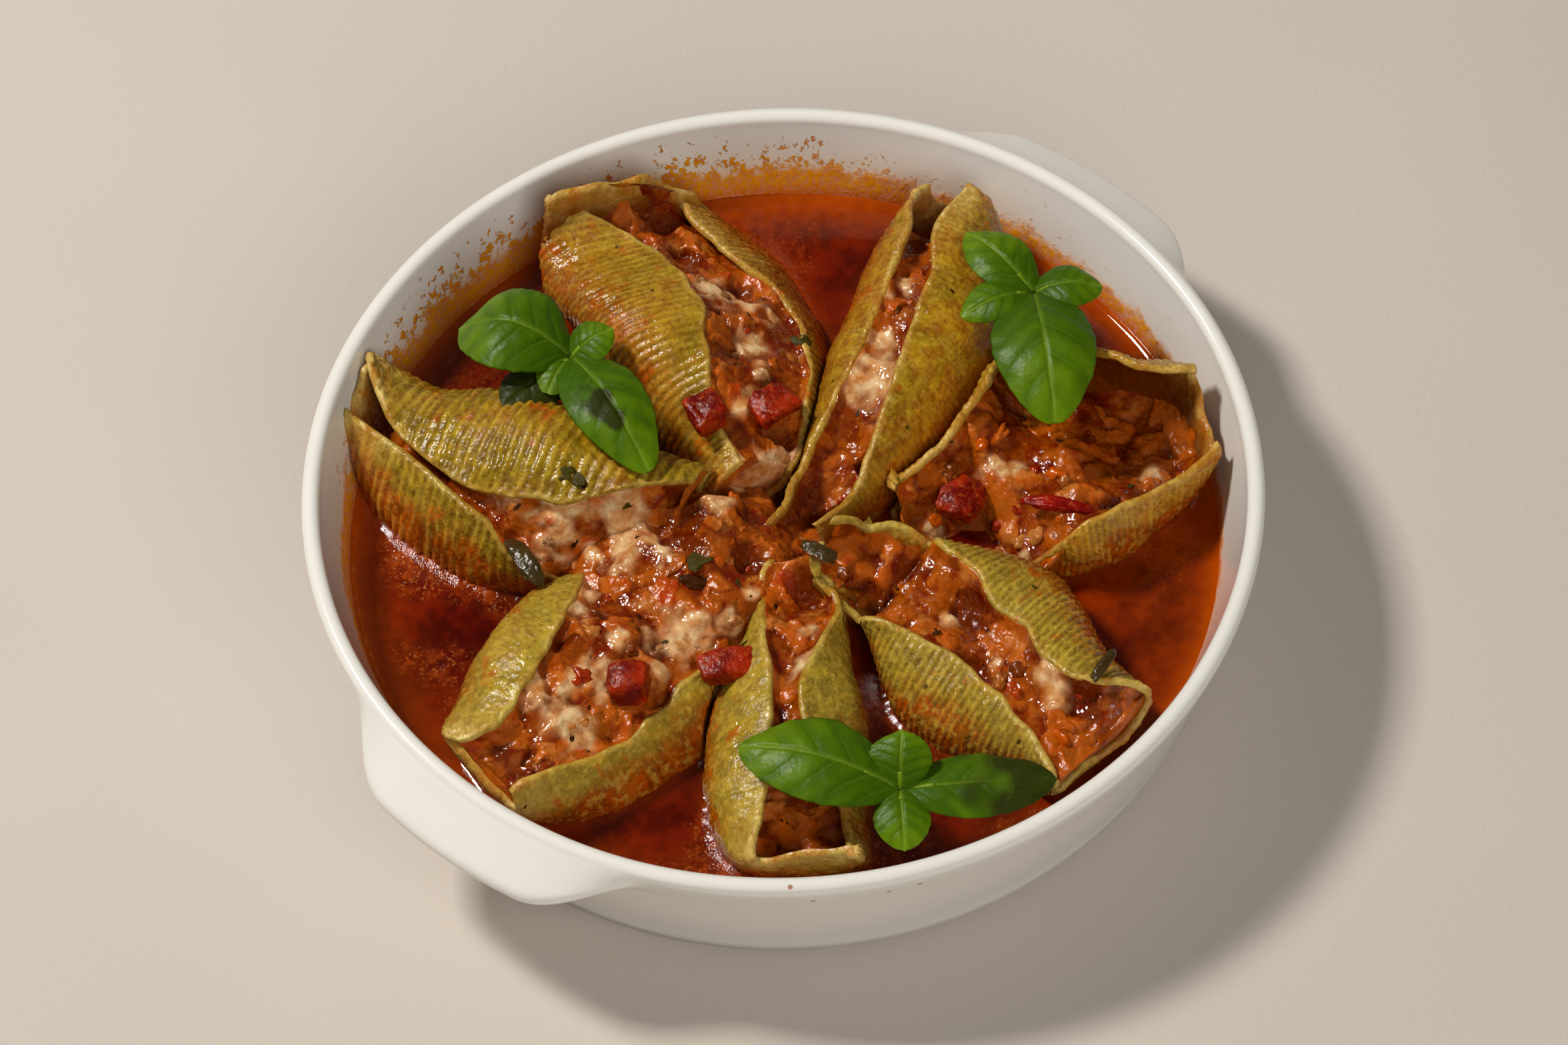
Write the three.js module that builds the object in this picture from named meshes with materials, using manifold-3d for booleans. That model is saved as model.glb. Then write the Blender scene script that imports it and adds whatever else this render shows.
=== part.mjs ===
// Baked stuffed pasta shells in the round eared dish they were cooked in.
// Millimetres, +Z up. The origin is the middle of the dish's flat base, and the two
// lugs lie on the X axis. Seven shells stand round the middle like petals, each one a
// thin curled wall with its own filling, over a shallow pool of sauce.

import * as THREE from 'three';
import { mergeVertices } from 'three/addons/utils/BufferGeometryUtils.js';
import Module from 'manifold-3d';

const wasm = await Module();
wasm.setup();

// ---------------------------------------------------------------- driving dimensions

const GAP = 0.3; // clearance between pieces that touch
const TALL = 70; // higher than all of the food

const DISH = {
  rimRadius: 101, baseRadius: 91, height: 40, wall: 4, floor: 6, innerCorner: 8, baseCorner: 2.5, segments: 48,
};
const LUG = {
  reach: 9.8, // how far it stands out from the rim
  drop: 7.5, // how far its top falls on the way out
  underRim: 0.7, // its top starts this far under the rim
  thickness: 5, // at its nose
  rootThickness: 6,
  flatHalfAngle: 9, // degrees over which it keeps its full reach, to each side
  rootHalfAngle: 23.5, // degrees over which it grows out of the wall, to each side
  rootDepth: 2.2, // how deep its ends run into the wall
  overlap: 1, // how much deeper its root starts than that
  steps: 10,
};
const SAUCE = { level: 18.5, segments: 28 };

const SHELL = {
  wall: 1.8, // thickness of the cooked pasta
  thinnest: 0.25, // where a shell is small, its wall is this share of its width or depth
  stations: 8, // cross-sections along a shell
  facets: 8, // facets round a cross-section, lip to lip
  endAngle: 0.46 * Math.PI, // how closely the cross-sections crowd towards the ends
  lowestKeel: 9, // no shell reaches lower than this over the table
  smallestGap: 0.02, // gap between the lips, as a share of the width
  deepestFill: 0.35, // a filling lies no lower under the lips than this share of the inside
};
const LID_FACETS = 4; // facets across the open top of a filling
const LID_CLEARANCE = 1; // clearance over the lips, where a neighbour leans on them

// One entry for each shell. "from" is the end near the middle of the dish and "to" the
// end at the wall. The five or nine values of each list are spaced along the shell: its
// width, its depth, the gap between its lips, the height of its top, how far it is turned
// about its own length (degrees) and how far the filling stands over its lips.
const SHELLS = [
  {
    name: 'shell_1', from: [0, 9], to: [40, 78], bow: -7,
    width: [15, 31, 58, 55, 29], depth: [13, 32, 34, 24, 6], gap: [11, 16, 21, 23, 22, 15, 11, 20, 28],
    top: [36, 40, 41, 34, 42], turn: [-51, -23, -35, -20, -26], fill: [0, 1, 1, 0, -1, -2, 0, 0, -2],
  },
  {
    name: 'shell_2', from: [-4, -13], to: [-7, -91], bow: 6,
    width: [15, 20, 47, 32, 33], depth: [15, 18, 28, 25, 9], gap: [4, 14, 25, 19, 12, 10, 14, 26, 35],
    top: [40, 41, 36, 37, 39], turn: [-49, -12, -11, -22, 17], fill: [-3, -4, -3, -2, -3],
  },
  {
    name: 'shell_3', from: [-5, -6], to: [89, 21], bow: -5,
    width: [14, 18, 35, 33, 10], depth: [12, 25, 31, 31, 6], gap: [5, 10, 14, 10, 7, 7, 5, 9, 7],
    top: [35, 37, 40, 40, 36], turn: [3, 8, 15, 23, 32], fill: [-3, -4, -1, -3, -1],
  },
  {
    name: 'shell_4', from: [16, -15], to: [73, -58], bow: 2,
    width: [12, 20, 55, 35, 16], depth: [12, 23, 32, 35, 6], gap: [7, 24, 44, 24, 12],
    top: [32, 34, 42, 45, 40], turn: [-61, -71, -3, -20, -21], fill: [0, 2, -4, -9, -3],
  },
  {
    name: 'shell_5', from: [-7, -13], to: [-68, -60], bow: -4.5,
    width: [17, 21, 34, 33, 22], depth: [12, 29, 29, 25, 6], gap: [6, 15, 4, 15, 21],
    top: [38, 38, 38, 34, 39], turn: [-39, 2, 0, 13, -23], fill: [-1, -1, -1, -2, -2],
  },
  {
    name: 'shell_6', from: [-13, 12], to: [-33, 91], bow: 8,
    width: [23, 35, 45, 32, 13], depth: [8, 31, 33, 25, 6], gap: [9, 18, 24, 14, 4, 1.5, 2, 7, 12],
    top: [34, 42, 43, 35, 38.5], turn: [19, 60, 47, 20, 20], fill: [0, 1, -1, -1, -1],
  },
  {
    name: 'shell_7', from: [-37, 4], to: [-92, 7], bow: 1,
    width: [40, 51, 49, 35, 18], depth: [15, 28, 29, 28, 6], gap: [40, 34, 28, 25, 22, 17, 11, 12, 17],
    top: [34, 37, 39, 39, 37], turn: [-8, 6, 22, 20, 20], fill: [2, 3, 2, 0, -1],
  },
];

// The loose filling that has spilled together in the middle, between the shells.
const HEAP = { centre: [-25, 6, 20], radii: [30, 27, 18], rings: 8, segments: 14 };
const HEAP_ROOM = 60; // the heap lies inside this radius

// Pieces of vegetable on top of the filling: their middle, size, and how far their
// length is turned from the X axis. Each is a ball pressed towards a box (a full ball at
// "roundness" 1), made uneven, and a little smaller than its size on average.
const CHUNK_SHAPE = { roundness: 0.7, unevenness: 0.09, fullness: 0.85 };
const CHUNKS = [
  { name: 'tomato_1', centre: [-57, -4.9, 36], size: [15, 13, 9], angle: 35 },
  { name: 'tomato_2', centre: [4, 23.5, 40], size: [13.5, 12.5, 8], angle: 70 },
  { name: 'tomato_3', centre: [17.5, 16, 34.2], size: [13.5, 12, 8.5], angle: -20 },
  { name: 'tomato_4', centre: [-39.6, -18.6, 33], size: [17.5, 11, 7.5], angle: -40 },
  { name: 'tomato_5', centre: [27.5, -25.5, 25], size: [16, 13, 7], angle: 10 },
  { name: 'pepper_1', centre: [35.5, -45.5, 30.5], size: [20, 5, 4], angle: -64 },
  { name: 'aubergine_1', centre: [-45.9, 32.2, 34.5], size: [17, 7, 4], angle: 68 },
  { name: 'aubergine_2', centre: [-10.4, -18.2, 41.2], size: [13, 5, 3.5], angle: -85 },
  { name: 'aubergine_3', centre: [5, -80.3, 38.2], size: [13, 4, 3.5], angle: 5 },
];

// Basil: each sprig is a few leaves on one stem. A leaf runs from the sprig's middle
// to its tip, "wide" across, with its middle "arch" over the straight line.
const LEAF = {
  thickness: 0.9, steps: 6, across: 2,
  cup: 0.16, // how far its edges turn down, as a share of its half width
  widening: 1.15, // how much wider than stated the blade is laid out
  belly: 0.95, // under 1, it is widest nearer to its stalk
  fullness: 0.6, // under 1, it keeps its width for longer
  stalk: 0.06, // width at the stalk and tip, as a share of the whole
};
const STEM = { radius: 1.1, sides: 6 };
const SPRIGS = [
  {
    name: 'basil_1', middle: [-4.7, 53.6, 45],
    leaves: [
      { tip: [-13, 78, 43], wide: 19, arch: 8 },
      { tip: [-18, 21, 45], wide: 14.5, arch: 6 },
      { tip: [4.5, 49, 48.5], wide: 9, arch: 2 },
      { tip: [-15.5, 51, 45], wide: 8, arch: 2 },
      { tip: [-23, 57, 44], wide: 11, arch: 0.5 },
    ],
  },
  {
    name: 'basil_2', middle: [70.4, -12.1, 42],
    leaves: [
      { tip: [74, 9, 42.5], wide: 11, arch: 3 },
      { tip: [80.5, -23, 42], wide: 10, arch: 3 },
      { tip: [55.5, -4, 42], wide: 9, arch: 3 },
      { tip: [45.5, -37, 42], wide: 19, arch: 7 },
    ],
  },
  {
    name: 'basil_3', middle: [-44.5, -66, 39],
    leaves: [
      { tip: [-57.5, -34.5, 40.5], wide: 17, arch: 5 },
      { tip: [-35.5, -59.5, 44], wide: 11, arch: 2 },
      { tip: [-22.5, -89.5, 38], wide: 13, arch: 1 },
      { tip: [-55, -75.5, 37], wide: 10, arch: 2 },
    ],
  },
];

// ---------------------------------------------------------------- materials

function material(color, roughness) {
  return new THREE.MeshStandardMaterial({ color, roughness, metalness: 0 });
}

const porcelain = material(0xeeece6, 0.12);
const redSauce = material(0x8c3a1a, 0.3);
const pasta = material(0xb98a3a, 0.4);
const filling = material(0x9a5a26, 0.4);
const tomato = material(0xc2331a, 0.25);
const aubergine = material(0x3a2224, 0.3);
const leafGreen = material(0x3f6b28, 0.5);

// ---------------------------------------------------------------- meshes and solids

// Joins a list of corner points and triangles into one closed geometry, and turns the
// triangles round if they face inwards.
function closedGeometry(points, triangles) {
  let volume = 0;
  for (const [a, b, c] of triangles) {
    const normal = new THREE.Vector3().crossVectors(points[b], points[c]);
    volume += points[a].dot(normal);
  }
  const index = triangles.flatMap(([a, b, c]) => (volume > 0 ? [a, b, c] : [a, c, b]));
  const geometry = new THREE.BufferGeometry().setFromPoints(points);
  geometry.setIndex(index);
  return geometry;
}

function toSolid(geometry) {
  const bare = geometry.clone();
  bare.deleteAttribute('normal');
  bare.deleteAttribute('uv');
  const merged = mergeVertices(bare, 1e-4);
  const vertProperties = new Float32Array(merged.attributes.position.array);
  const triVerts = new Uint32Array(merged.index.array);
  return new wasm.Manifold(new wasm.Mesh({ numProp: 3, vertProperties, triVerts }));
}

function toGeometry(solid) {
  const mesh = solid.getMesh();
  const geometry = new THREE.BufferGeometry();
  geometry.setAttribute('position', new THREE.BufferAttribute(new Float32Array(mesh.vertProperties), 3));
  geometry.setIndex(new THREE.BufferAttribute(new Uint32Array(mesh.triVerts), 1));
  geometry.computeVertexNormals();
  return geometry;
}

// A cut can leave crumbs beside the piece itself, so only the largest body is kept.
function largestBody(solid) {
  const bodies = solid.decompose();
  bodies.sort((a, b) => b.volume() - a.volume());
  return bodies[0];
}

function cutAway(solid, cutters) {
  return cutters.reduce((rest, cutter) => rest.subtract(cutter), solid);
}

// A closed body through a row of rings, with each end closed to its ring's middle.
function loft(rings) {
  const count = rings[0].length;
  const points = rings.flat();
  const triangles = [];
  for (let row = 0; row < rings.length - 1; row += 1) {
    for (let k = 0; k < count; k += 1) {
      const a = row * count + k;
      const b = row * count + ((k + 1) % count);
      triangles.push([a, b, b + count], [a, b + count, a + count]);
    }
  }
  for (const row of [0, rings.length - 1]) {
    const middle = points.length;
    const sum = rings[row].reduce((total, point) => total.add(point), new THREE.Vector3());
    points.push(sum.divideScalar(count));
    for (let k = 0; k < count; k += 1) {
      const a = row * count + k;
      const b = row * count + ((k + 1) % count);
      triangles.push(row === 0 ? [middle, b, a] : [middle, a, b]);
    }
  }
  return toSolid(closedGeometry(points, triangles));
}

// A thin wall between two grids of points that match row by row.
function thinWall(outer, inner) {
  const rows = outer.length;
  const columns = outer[0].length;
  const points = [...outer.flat(), ...inner.flat()];
  const triangles = [];
  const at = (side, row, column) => (side * rows + row) * columns + column;
  const quad = (a, b, c, d) => triangles.push([a, b, c], [a, c, d]);
  for (let r = 0; r < rows - 1; r += 1) {
    for (let c = 0; c < columns - 1; c += 1) {
      quad(at(0, r, c), at(0, r, c + 1), at(0, r + 1, c + 1), at(0, r + 1, c));
      quad(at(1, r, c), at(1, r + 1, c), at(1, r + 1, c + 1), at(1, r, c + 1));
    }
    quad(at(0, r, 0), at(0, r + 1, 0), at(1, r + 1, 0), at(1, r, 0));
    const last = columns - 1;
    quad(at(0, r, last), at(1, r, last), at(1, r + 1, last), at(0, r + 1, last));
  }
  for (let c = 0; c < columns - 1; c += 1) {
    quad(at(0, 0, c), at(1, 0, c), at(1, 0, c + 1), at(0, 0, c + 1));
    const end = rows - 1;
    quad(at(0, end, c), at(0, end, c + 1), at(1, end, c + 1), at(1, end, c));
  }
  return toSolid(closedGeometry(points, triangles));
}

// ---------------------------------------------------------------- dish

function arcPoints(centreR, centreZ, radius, fromDegrees, toDegrees, steps) {
  const points = [];
  for (let k = 0; k <= steps; k += 1) {
    const angle = THREE.MathUtils.degToRad(fromDegrees + ((toDegrees - fromDegrees) * k) / steps);
    points.push(new THREE.Vector2(centreR + radius * Math.cos(angle), centreZ + radius * Math.sin(angle)));
  }
  return points;
}

// The inside of the dish tapers in a straight line from the rim to the floor.
const innerRimRadius = DISH.rimRadius - DISH.wall;
const innerFloorRadius = innerRimRadius - (DISH.rimRadius - DISH.baseRadius) * (1 - DISH.floor / DISH.height);

function innerRadius(z) {
  const share = (z - DISH.floor) / (DISH.height - DISH.floor);
  return innerFloorRadius + (innerRimRadius - innerFloorRadius) * share;
}

function lathe(profile, segments) {
  const geometry = new THREE.LatheGeometry(profile, segments);
  geometry.rotateX(Math.PI / 2);
  return toSolid(geometry);
}

// The space inside the dish, kept "clear" of its wall and floor, up to a level.
function dishSpace(clear, level, segments) {
  const cornerZ = DISH.floor + DISH.innerCorner;
  const cornerR = innerRadius(cornerZ) - DISH.innerCorner;
  const profile = [
    new THREE.Vector2(0, DISH.floor + clear),
    ...arcPoints(cornerR, cornerZ, DISH.innerCorner - clear, -90, 0, 3),
  ];
  if (level > DISH.height) {
    profile.push(new THREE.Vector2(innerRadius(DISH.height) - clear, DISH.height));
  }
  const topRadius = innerRadius(Math.min(level, DISH.height)) - clear;
  profile.push(new THREE.Vector2(topRadius, level), new THREE.Vector2(0, level));
  return lathe(profile, segments);
}

function dishBody() {
  const rim = DISH.wall / 2;
  const cornerZ = DISH.floor + DISH.innerCorner;
  const cornerR = innerRadius(cornerZ) - DISH.innerCorner;
  const profile = [
    new THREE.Vector2(0, 0),
    ...arcPoints(DISH.baseRadius - DISH.baseCorner, DISH.baseCorner, DISH.baseCorner, -90, -10, 2),
    ...arcPoints(DISH.rimRadius - rim, DISH.height - rim, rim, 0, 180, 4),
    ...arcPoints(cornerR, cornerZ, DISH.innerCorner, 0, -90, 3),
    new THREE.Vector2(0, DISH.floor),
  ];
  return lathe(profile, DISH.segments);
}

// How far a lug stands out at an angle from its middle: full over the flat part, then
// falling away in a smooth curve to inside the wall.
function lugReach(degrees) {
  const away = Math.abs(degrees);
  const share = THREE.MathUtils.clamp(
    (away - LUG.flatHalfAngle) / (LUG.rootHalfAngle - LUG.flatHalfAngle), 0, 1,
  );
  const fall = 0.5 - 0.5 * Math.cos(Math.PI * share);
  return LUG.reach * (1 - fall) - LUG.rootDepth * fall;
}

// A lug is a thick tongue whose top slopes down and outwards from the rim.
function lug(middleDegrees) {
  const rings = [];
  const rootRadius = DISH.rimRadius - LUG.rootDepth - LUG.overlap;
  for (let k = 0; k <= LUG.steps; k += 1) {
    const offset = -LUG.rootHalfAngle + (2 * LUG.rootHalfAngle * k) / LUG.steps;
    const angle = THREE.MathUtils.degToRad(middleDegrees + offset);
    const reach = lugReach(offset);
    const outerRadius = DISH.rimRadius + reach;
    const slope = LUG.drop / LUG.reach;
    const topAt = (radius) => DISH.height - LUG.underRim - slope * Math.max(radius - DISH.rimRadius, 0);
    const round = Math.min(LUG.thickness / 2, (outerRadius - rootRadius) / 2);
    const noseR = outerRadius - round;
    const noseZ = topAt(noseR) - LUG.thickness / 2;
    const outline = [
      new THREE.Vector2(rootRadius, topAt(rootRadius)),
      ...arcPoints(noseR, noseZ, round, 80, -80, 3),
      new THREE.Vector2(rootRadius, topAt(rootRadius) - LUG.rootThickness),
    ];
    rings.push(outline.map((p) => new THREE.Vector3(p.x * Math.cos(angle), p.x * Math.sin(angle), p.y)));
  }
  return loft(rings);
}

function dish() {
  return dishBody().add(lug(0)).add(lug(180));
}

// ---------------------------------------------------------------- shells

// A smooth value through evenly spaced ones (Catmull-Rom).
function alongShell(values, share) {
  const last = values.length - 1;
  const place = THREE.MathUtils.clamp(share, 0, 1) * last;
  const k = Math.min(Math.floor(place), last - 1);
  const t = place - k;
  const before = k > 0 ? values[k - 1] : 2 * values[0] - values[1];
  const after = k < last - 1 ? values[k + 2] : 2 * values[last] - values[last - 1];
  const rise = (values[k + 1] - before) / 2;
  const leave = (after - values[k]) / 2;
  const step = values[k + 1] - values[k];
  return values[k] + rise * t + (3 * step - 2 * rise - leave) * t * t + (rise + leave - 2 * step) * t * t * t;
}

// A cross-section is most of an ellipse, open at the top between two lips. It is
// drawn "inset" inside the pasta's outer face and returned as a function of the place
// round it: -1 is the right lip, 0 the keel and 1 the left lip, looking outwards.
function crossSection(shell, share, inset) {
  const from = new THREE.Vector2(...shell.from);
  const to = new THREE.Vector2(...shell.to);
  const length = from.distanceTo(to);
  const ahead = to.clone().sub(from).divideScalar(length);
  const left = new THREE.Vector2(-ahead.y, ahead.x);

  const angle = (2 * share - 1) * SHELL.endAngle;
  const run = (Math.sin(angle) / Math.sin(SHELL.endAngle) + 1) / 2;
  const width = alongShell(shell.width, share);
  const gap = alongShell(shell.gap, share);
  const top = alongShell(shell.top, share);
  const depth = Math.min(alongShell(shell.depth, share), top - SHELL.lowestKeel);
  const turn = THREE.MathUtils.degToRad(alongShell(shell.turn, share));

  const thin = Math.min(SHELL.wall, SHELL.thinnest * Math.min(width, depth));
  const step = inset > SHELL.wall ? thin + inset - SHELL.wall : Math.min(inset, thin);
  const halfWidth = width / 2 - step;
  const halfDepth = depth / 2 - step;
  const lipAngle = Math.PI - Math.asin(THREE.MathUtils.clamp(gap / width, SHELL.smallestGap, 1));
  const flare = Math.max(gap / width, 1) - 1;
  const bow = shell.bow * (1 - (2 * run - 1) ** 2);
  const past = (2 * share - 1) * Math.max(-inset, 0);

  return (spot) => {
    const across = halfWidth * Math.sin(spot * lipAngle) * (1 + flare * spot ** 4);
    const up = -halfDepth * Math.cos(spot * lipAngle);
    const sideways = across * Math.cos(turn) + up * Math.sin(turn) + bow;
    const rise = up * Math.cos(turn) - across * Math.sin(turn);
    const plan = from.clone().addScaledVector(ahead, run * length + past).addScaledVector(left, sideways);
    return new THREE.Vector3(plan.x, plan.y, top - depth / 2 + rise);
  };
}

function shares(count) {
  return Array.from({ length: count + 1 }, (_, k) => k / count);
}

const places = shares(SHELL.facets).map((share) => 2 * share - 1);
const LIP_CLEARANCE = 0.06; // share of the lip's angle that each millimetre of clearance adds

// The curled wall of pasta, made thicker all over by "clear" where it cuts a neighbour.
function pastaWall(shell, clear) {
  const rows = shares(SHELL.stations);
  const reach = 1 + clear * LIP_CLEARANCE;
  const row = (share, inset) => places.map((spot) => crossSection(shell, share, inset)(spot * reach));
  return thinWall(
    rows.map((share) => row(share, -clear)),
    rows.map((share) => row(share, SHELL.wall + clear)),
  );
}

// A body that fills a shell out to an inset from its outer face, with a lid across
// the open top that follows its filling, raised all over where it cuts a neighbour.
function shellFull(shell, inset, over) {
  const rings = shares(SHELL.stations).map((share) => {
    const point = crossSection(shell, share, inset);
    const ring = places.map(point);
    const right = point(-1);
    const left = point(1);
    const keel = point(0);
    const lipMiddle = right.clone().lerp(left, 0.5);
    const upwards = lipMiddle.clone().sub(keel);
    const inside = upwards.length();
    const crown = Math.max(alongShell(shell.fill, share), -SHELL.deepestFill * inside);
    const across = shares(LID_FACETS);
    for (const t of over > 0 ? across : across.slice(1, -1)) {
      const lift = over + crown * 4 * t * (1 - t);
      ring.push(left.clone().lerp(right, t).addScaledVector(upwards, lift / inside));
    }
    return ring;
  });
  return loft(rings);
}

// ---------------------------------------------------------------- what lies between

function heap() {
  const [x, y, z] = HEAP.centre;
  const [across, along, up] = HEAP.radii;
  const geometry = new THREE.SphereGeometry(1, HEAP.segments, HEAP.rings);
  geometry.rotateX(Math.PI / 2);
  geometry.scale(across, along, up);
  geometry.translate(x, y, z);
  return toSolid(geometry);
}

// A cut piece of vegetable: a box-like lump with soft, uneven corners.
function chunk({ centre, size, angle }, seed, clear) {
  const geometry = mergeVertices(new THREE.IcosahedronGeometry(1, 1).deleteAttribute('normal').deleteAttribute('uv'));
  const position = geometry.attributes.position;
  const point = new THREE.Vector3();
  for (let k = 0; k < position.count; k += 1) {
    point.fromBufferAttribute(position, k);
    const boxy = (value) => Math.sign(value) * Math.abs(value) ** CHUNK_SHAPE.roundness;
    const wave = Math.sin(3 * point.x + seed) * Math.cos(4 * point.y + 2 * seed);
    const lump = CHUNK_SHAPE.fullness * (1 + CHUNK_SHAPE.unevenness * wave);
    point.set(boxy(point.x), boxy(point.y), boxy(point.z)).multiplyScalar(lump);
    const [x, y, z] = size.map((value) => value / 2 + clear);
    position.setXYZ(k, point.x * x, point.y * y, point.z * z);
  }
  geometry.rotateZ(THREE.MathUtils.degToRad(angle));
  geometry.translate(...centre);
  return toSolid(geometry);
}

// ---------------------------------------------------------------- basil

// An egg-shaped leaf, pointed at its tip, arched along its length and turned down at
// its edges.
function leaf(middle, { tip, wide, arch }) {
  const start = new THREE.Vector3(...middle);
  const end = new THREE.Vector3(...tip);
  const ahead = end.clone().sub(start);
  const side = new THREE.Vector3(-ahead.y, ahead.x, 0).normalize();
  const upper = [];
  const lower = [];
  for (const share of shares(LEAF.steps)) {
    const outline = Math.sin(Math.PI * share ** LEAF.belly) ** LEAF.fullness;
    const half = LEAF.widening * (wide / 2) * (outline * (1 - LEAF.stalk) + LEAF.stalk);
    const spine = start.clone().addScaledVector(ahead, share);
    spine.z += arch * 4 * share * (1 - share);
    const topRow = [];
    const underRow = [];
    for (const spot of shares(LEAF.across).map((t) => 2 * t - 1)) {
      const point = spine.clone().addScaledVector(side, spot * half);
      point.z -= LEAF.cup * half * spot * spot;
      topRow.push(point);
      underRow.push(point.clone().setZ(point.z - LEAF.thickness));
    }
    upper.push(topRow);
    lower.push(underRow);
  }
  return thinWall(upper, lower);
}

function sprig({ middle, leaves }) {
  const stem = new THREE.SphereGeometry(2 * STEM.radius, STEM.sides, STEM.sides / 2);
  stem.translate(middle[0], middle[1], middle[2] - STEM.radius / 2);
  return leaves.reduce((whole, one) => whole.add(leaf(middle, one)), toSolid(stem));
}

// ---------------------------------------------------------------- assembly

const part = new THREE.Group();

function addPiece(name, solid, finish) {
  const mesh = new THREE.Mesh(toGeometry(solid), finish);
  mesh.name = name;
  part.add(mesh);
}

addPiece('dish', dish(), porcelain);

const room = dishSpace(GAP, TALL, DISH.segments);
const walls = SHELLS.map((shell) => pastaWall(shell, 0));
const wallCutters = SHELLS.map((shell) => pastaWall(shell, GAP));
const hulls = SHELLS.map((shell) => shellFull(shell, -GAP, LID_CLEARANCE));
const chunkCutters = CHUNKS.map((one, k) => chunk(one, k, GAP));

// The shells are listed from the uppermost down, and each is cut round those before it.
SHELLS.forEach((shell, k) => {
  const above = [...hulls.slice(0, k), ...walls.slice(0, k), ...wallCutters.slice(0, k)];
  const wall = cutAway(walls[k].intersect(room), above);
  addPiece(shell.name, largestBody(wall), pasta);
  const inside = shellFull(shell, SHELL.wall + GAP, 0).intersect(room);
  const body = cutAway(inside, [...above, ...chunkCutters]);
  addPiece(shell.name.replace('shell', 'filling'), largestBody(body), filling);
});

const poolProfile = dishSpace(GAP, SAUCE.level, SAUCE.segments);
addPiece('sauce', largestBody(cutAway(poolProfile, [...hulls, ...walls])), redSauce);

const overSauce = [[0, SAUCE.level + GAP], [HEAP_ROOM, SAUCE.level + GAP], [HEAP_ROOM, TALL], [0, TALL]];
const dry = lathe(overSauce.map(([x, y]) => new THREE.Vector2(x, y)), SAUCE.segments);
const mound = cutAway(heap().intersect(dry), [...hulls, ...walls, ...chunkCutters]);
addPiece('filling_heap', largestBody(mound), filling);

CHUNKS.forEach((one, k) => {
  const body = cutAway(chunk(one, k, 0), [...walls, ...wallCutters]);
  addPiece(one.name, largestBody(body), one.name.startsWith('aubergine') ? aubergine : tomato);
});

for (const one of SPRIGS) {
  const body = cutAway(sprig(one), [...hulls, ...walls, ...chunkCutters]);
  addPiece(one.name, largestBody(body), leafGreen);
}

export default part;
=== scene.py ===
# %% [markdown]
# # Stuffed pasta shells in their baking dish
# This lesson builds seven large baked pasta shells, their filling, the sauce they stand
# in, the basil on top and the white dish that holds it all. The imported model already
# fixes where each of those things is and how big it is. What is left to Blender is how
# they look: the ribs and torn lips of the pasta, the glossy mince, the stains on the
# glaze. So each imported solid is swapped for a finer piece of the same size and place.

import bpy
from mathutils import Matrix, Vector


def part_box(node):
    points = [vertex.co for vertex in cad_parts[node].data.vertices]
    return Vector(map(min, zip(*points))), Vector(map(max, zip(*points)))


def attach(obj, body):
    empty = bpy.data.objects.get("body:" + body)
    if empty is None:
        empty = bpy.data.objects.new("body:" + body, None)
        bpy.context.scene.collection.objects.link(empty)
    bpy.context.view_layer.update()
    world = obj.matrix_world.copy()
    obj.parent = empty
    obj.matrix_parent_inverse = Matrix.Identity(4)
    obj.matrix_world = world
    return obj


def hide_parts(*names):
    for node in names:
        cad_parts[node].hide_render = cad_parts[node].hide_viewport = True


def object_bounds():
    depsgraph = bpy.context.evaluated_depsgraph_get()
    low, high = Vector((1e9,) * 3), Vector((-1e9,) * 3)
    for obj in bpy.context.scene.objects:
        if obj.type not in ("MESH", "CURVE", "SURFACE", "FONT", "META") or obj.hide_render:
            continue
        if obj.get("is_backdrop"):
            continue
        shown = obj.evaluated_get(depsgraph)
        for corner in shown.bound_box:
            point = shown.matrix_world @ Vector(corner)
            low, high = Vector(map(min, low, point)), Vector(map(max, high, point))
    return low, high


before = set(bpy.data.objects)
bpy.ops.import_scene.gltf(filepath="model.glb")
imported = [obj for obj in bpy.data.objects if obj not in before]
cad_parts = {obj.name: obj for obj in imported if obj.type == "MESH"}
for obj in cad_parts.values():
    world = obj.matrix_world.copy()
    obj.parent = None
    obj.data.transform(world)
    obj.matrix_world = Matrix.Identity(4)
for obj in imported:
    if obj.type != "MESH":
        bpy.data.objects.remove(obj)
cad_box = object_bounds()
print("the packed model's box:", [tuple(round(v, 4) for v in corner) for corner in cad_box])

# %% [markdown]
# Everything below is worked out as arrays of points with NumPy, in millimetres, because
# a cook's sizes read best that way. Only the last step, which makes the Blender mesh,
# turns them into metres.

# %% Mesh tools
import itertools
import math

import bmesh
import bpy
import numpy as np
from mathutils import Matrix, Vector
from mathutils.bvhtree import BVHTree
from mathutils.kdtree import KDTree

MM = 0.001
UP = np.array([0, 0, 1])


def quads(index):
    """The four-cornered faces of a grid whose points have these numbers."""
    corners = (index[:-1, :-1], index[:-1, 1:], index[1:, 1:], index[1:, :-1])
    return np.stack(corners, axis=-1).reshape(-1, 4)


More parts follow.
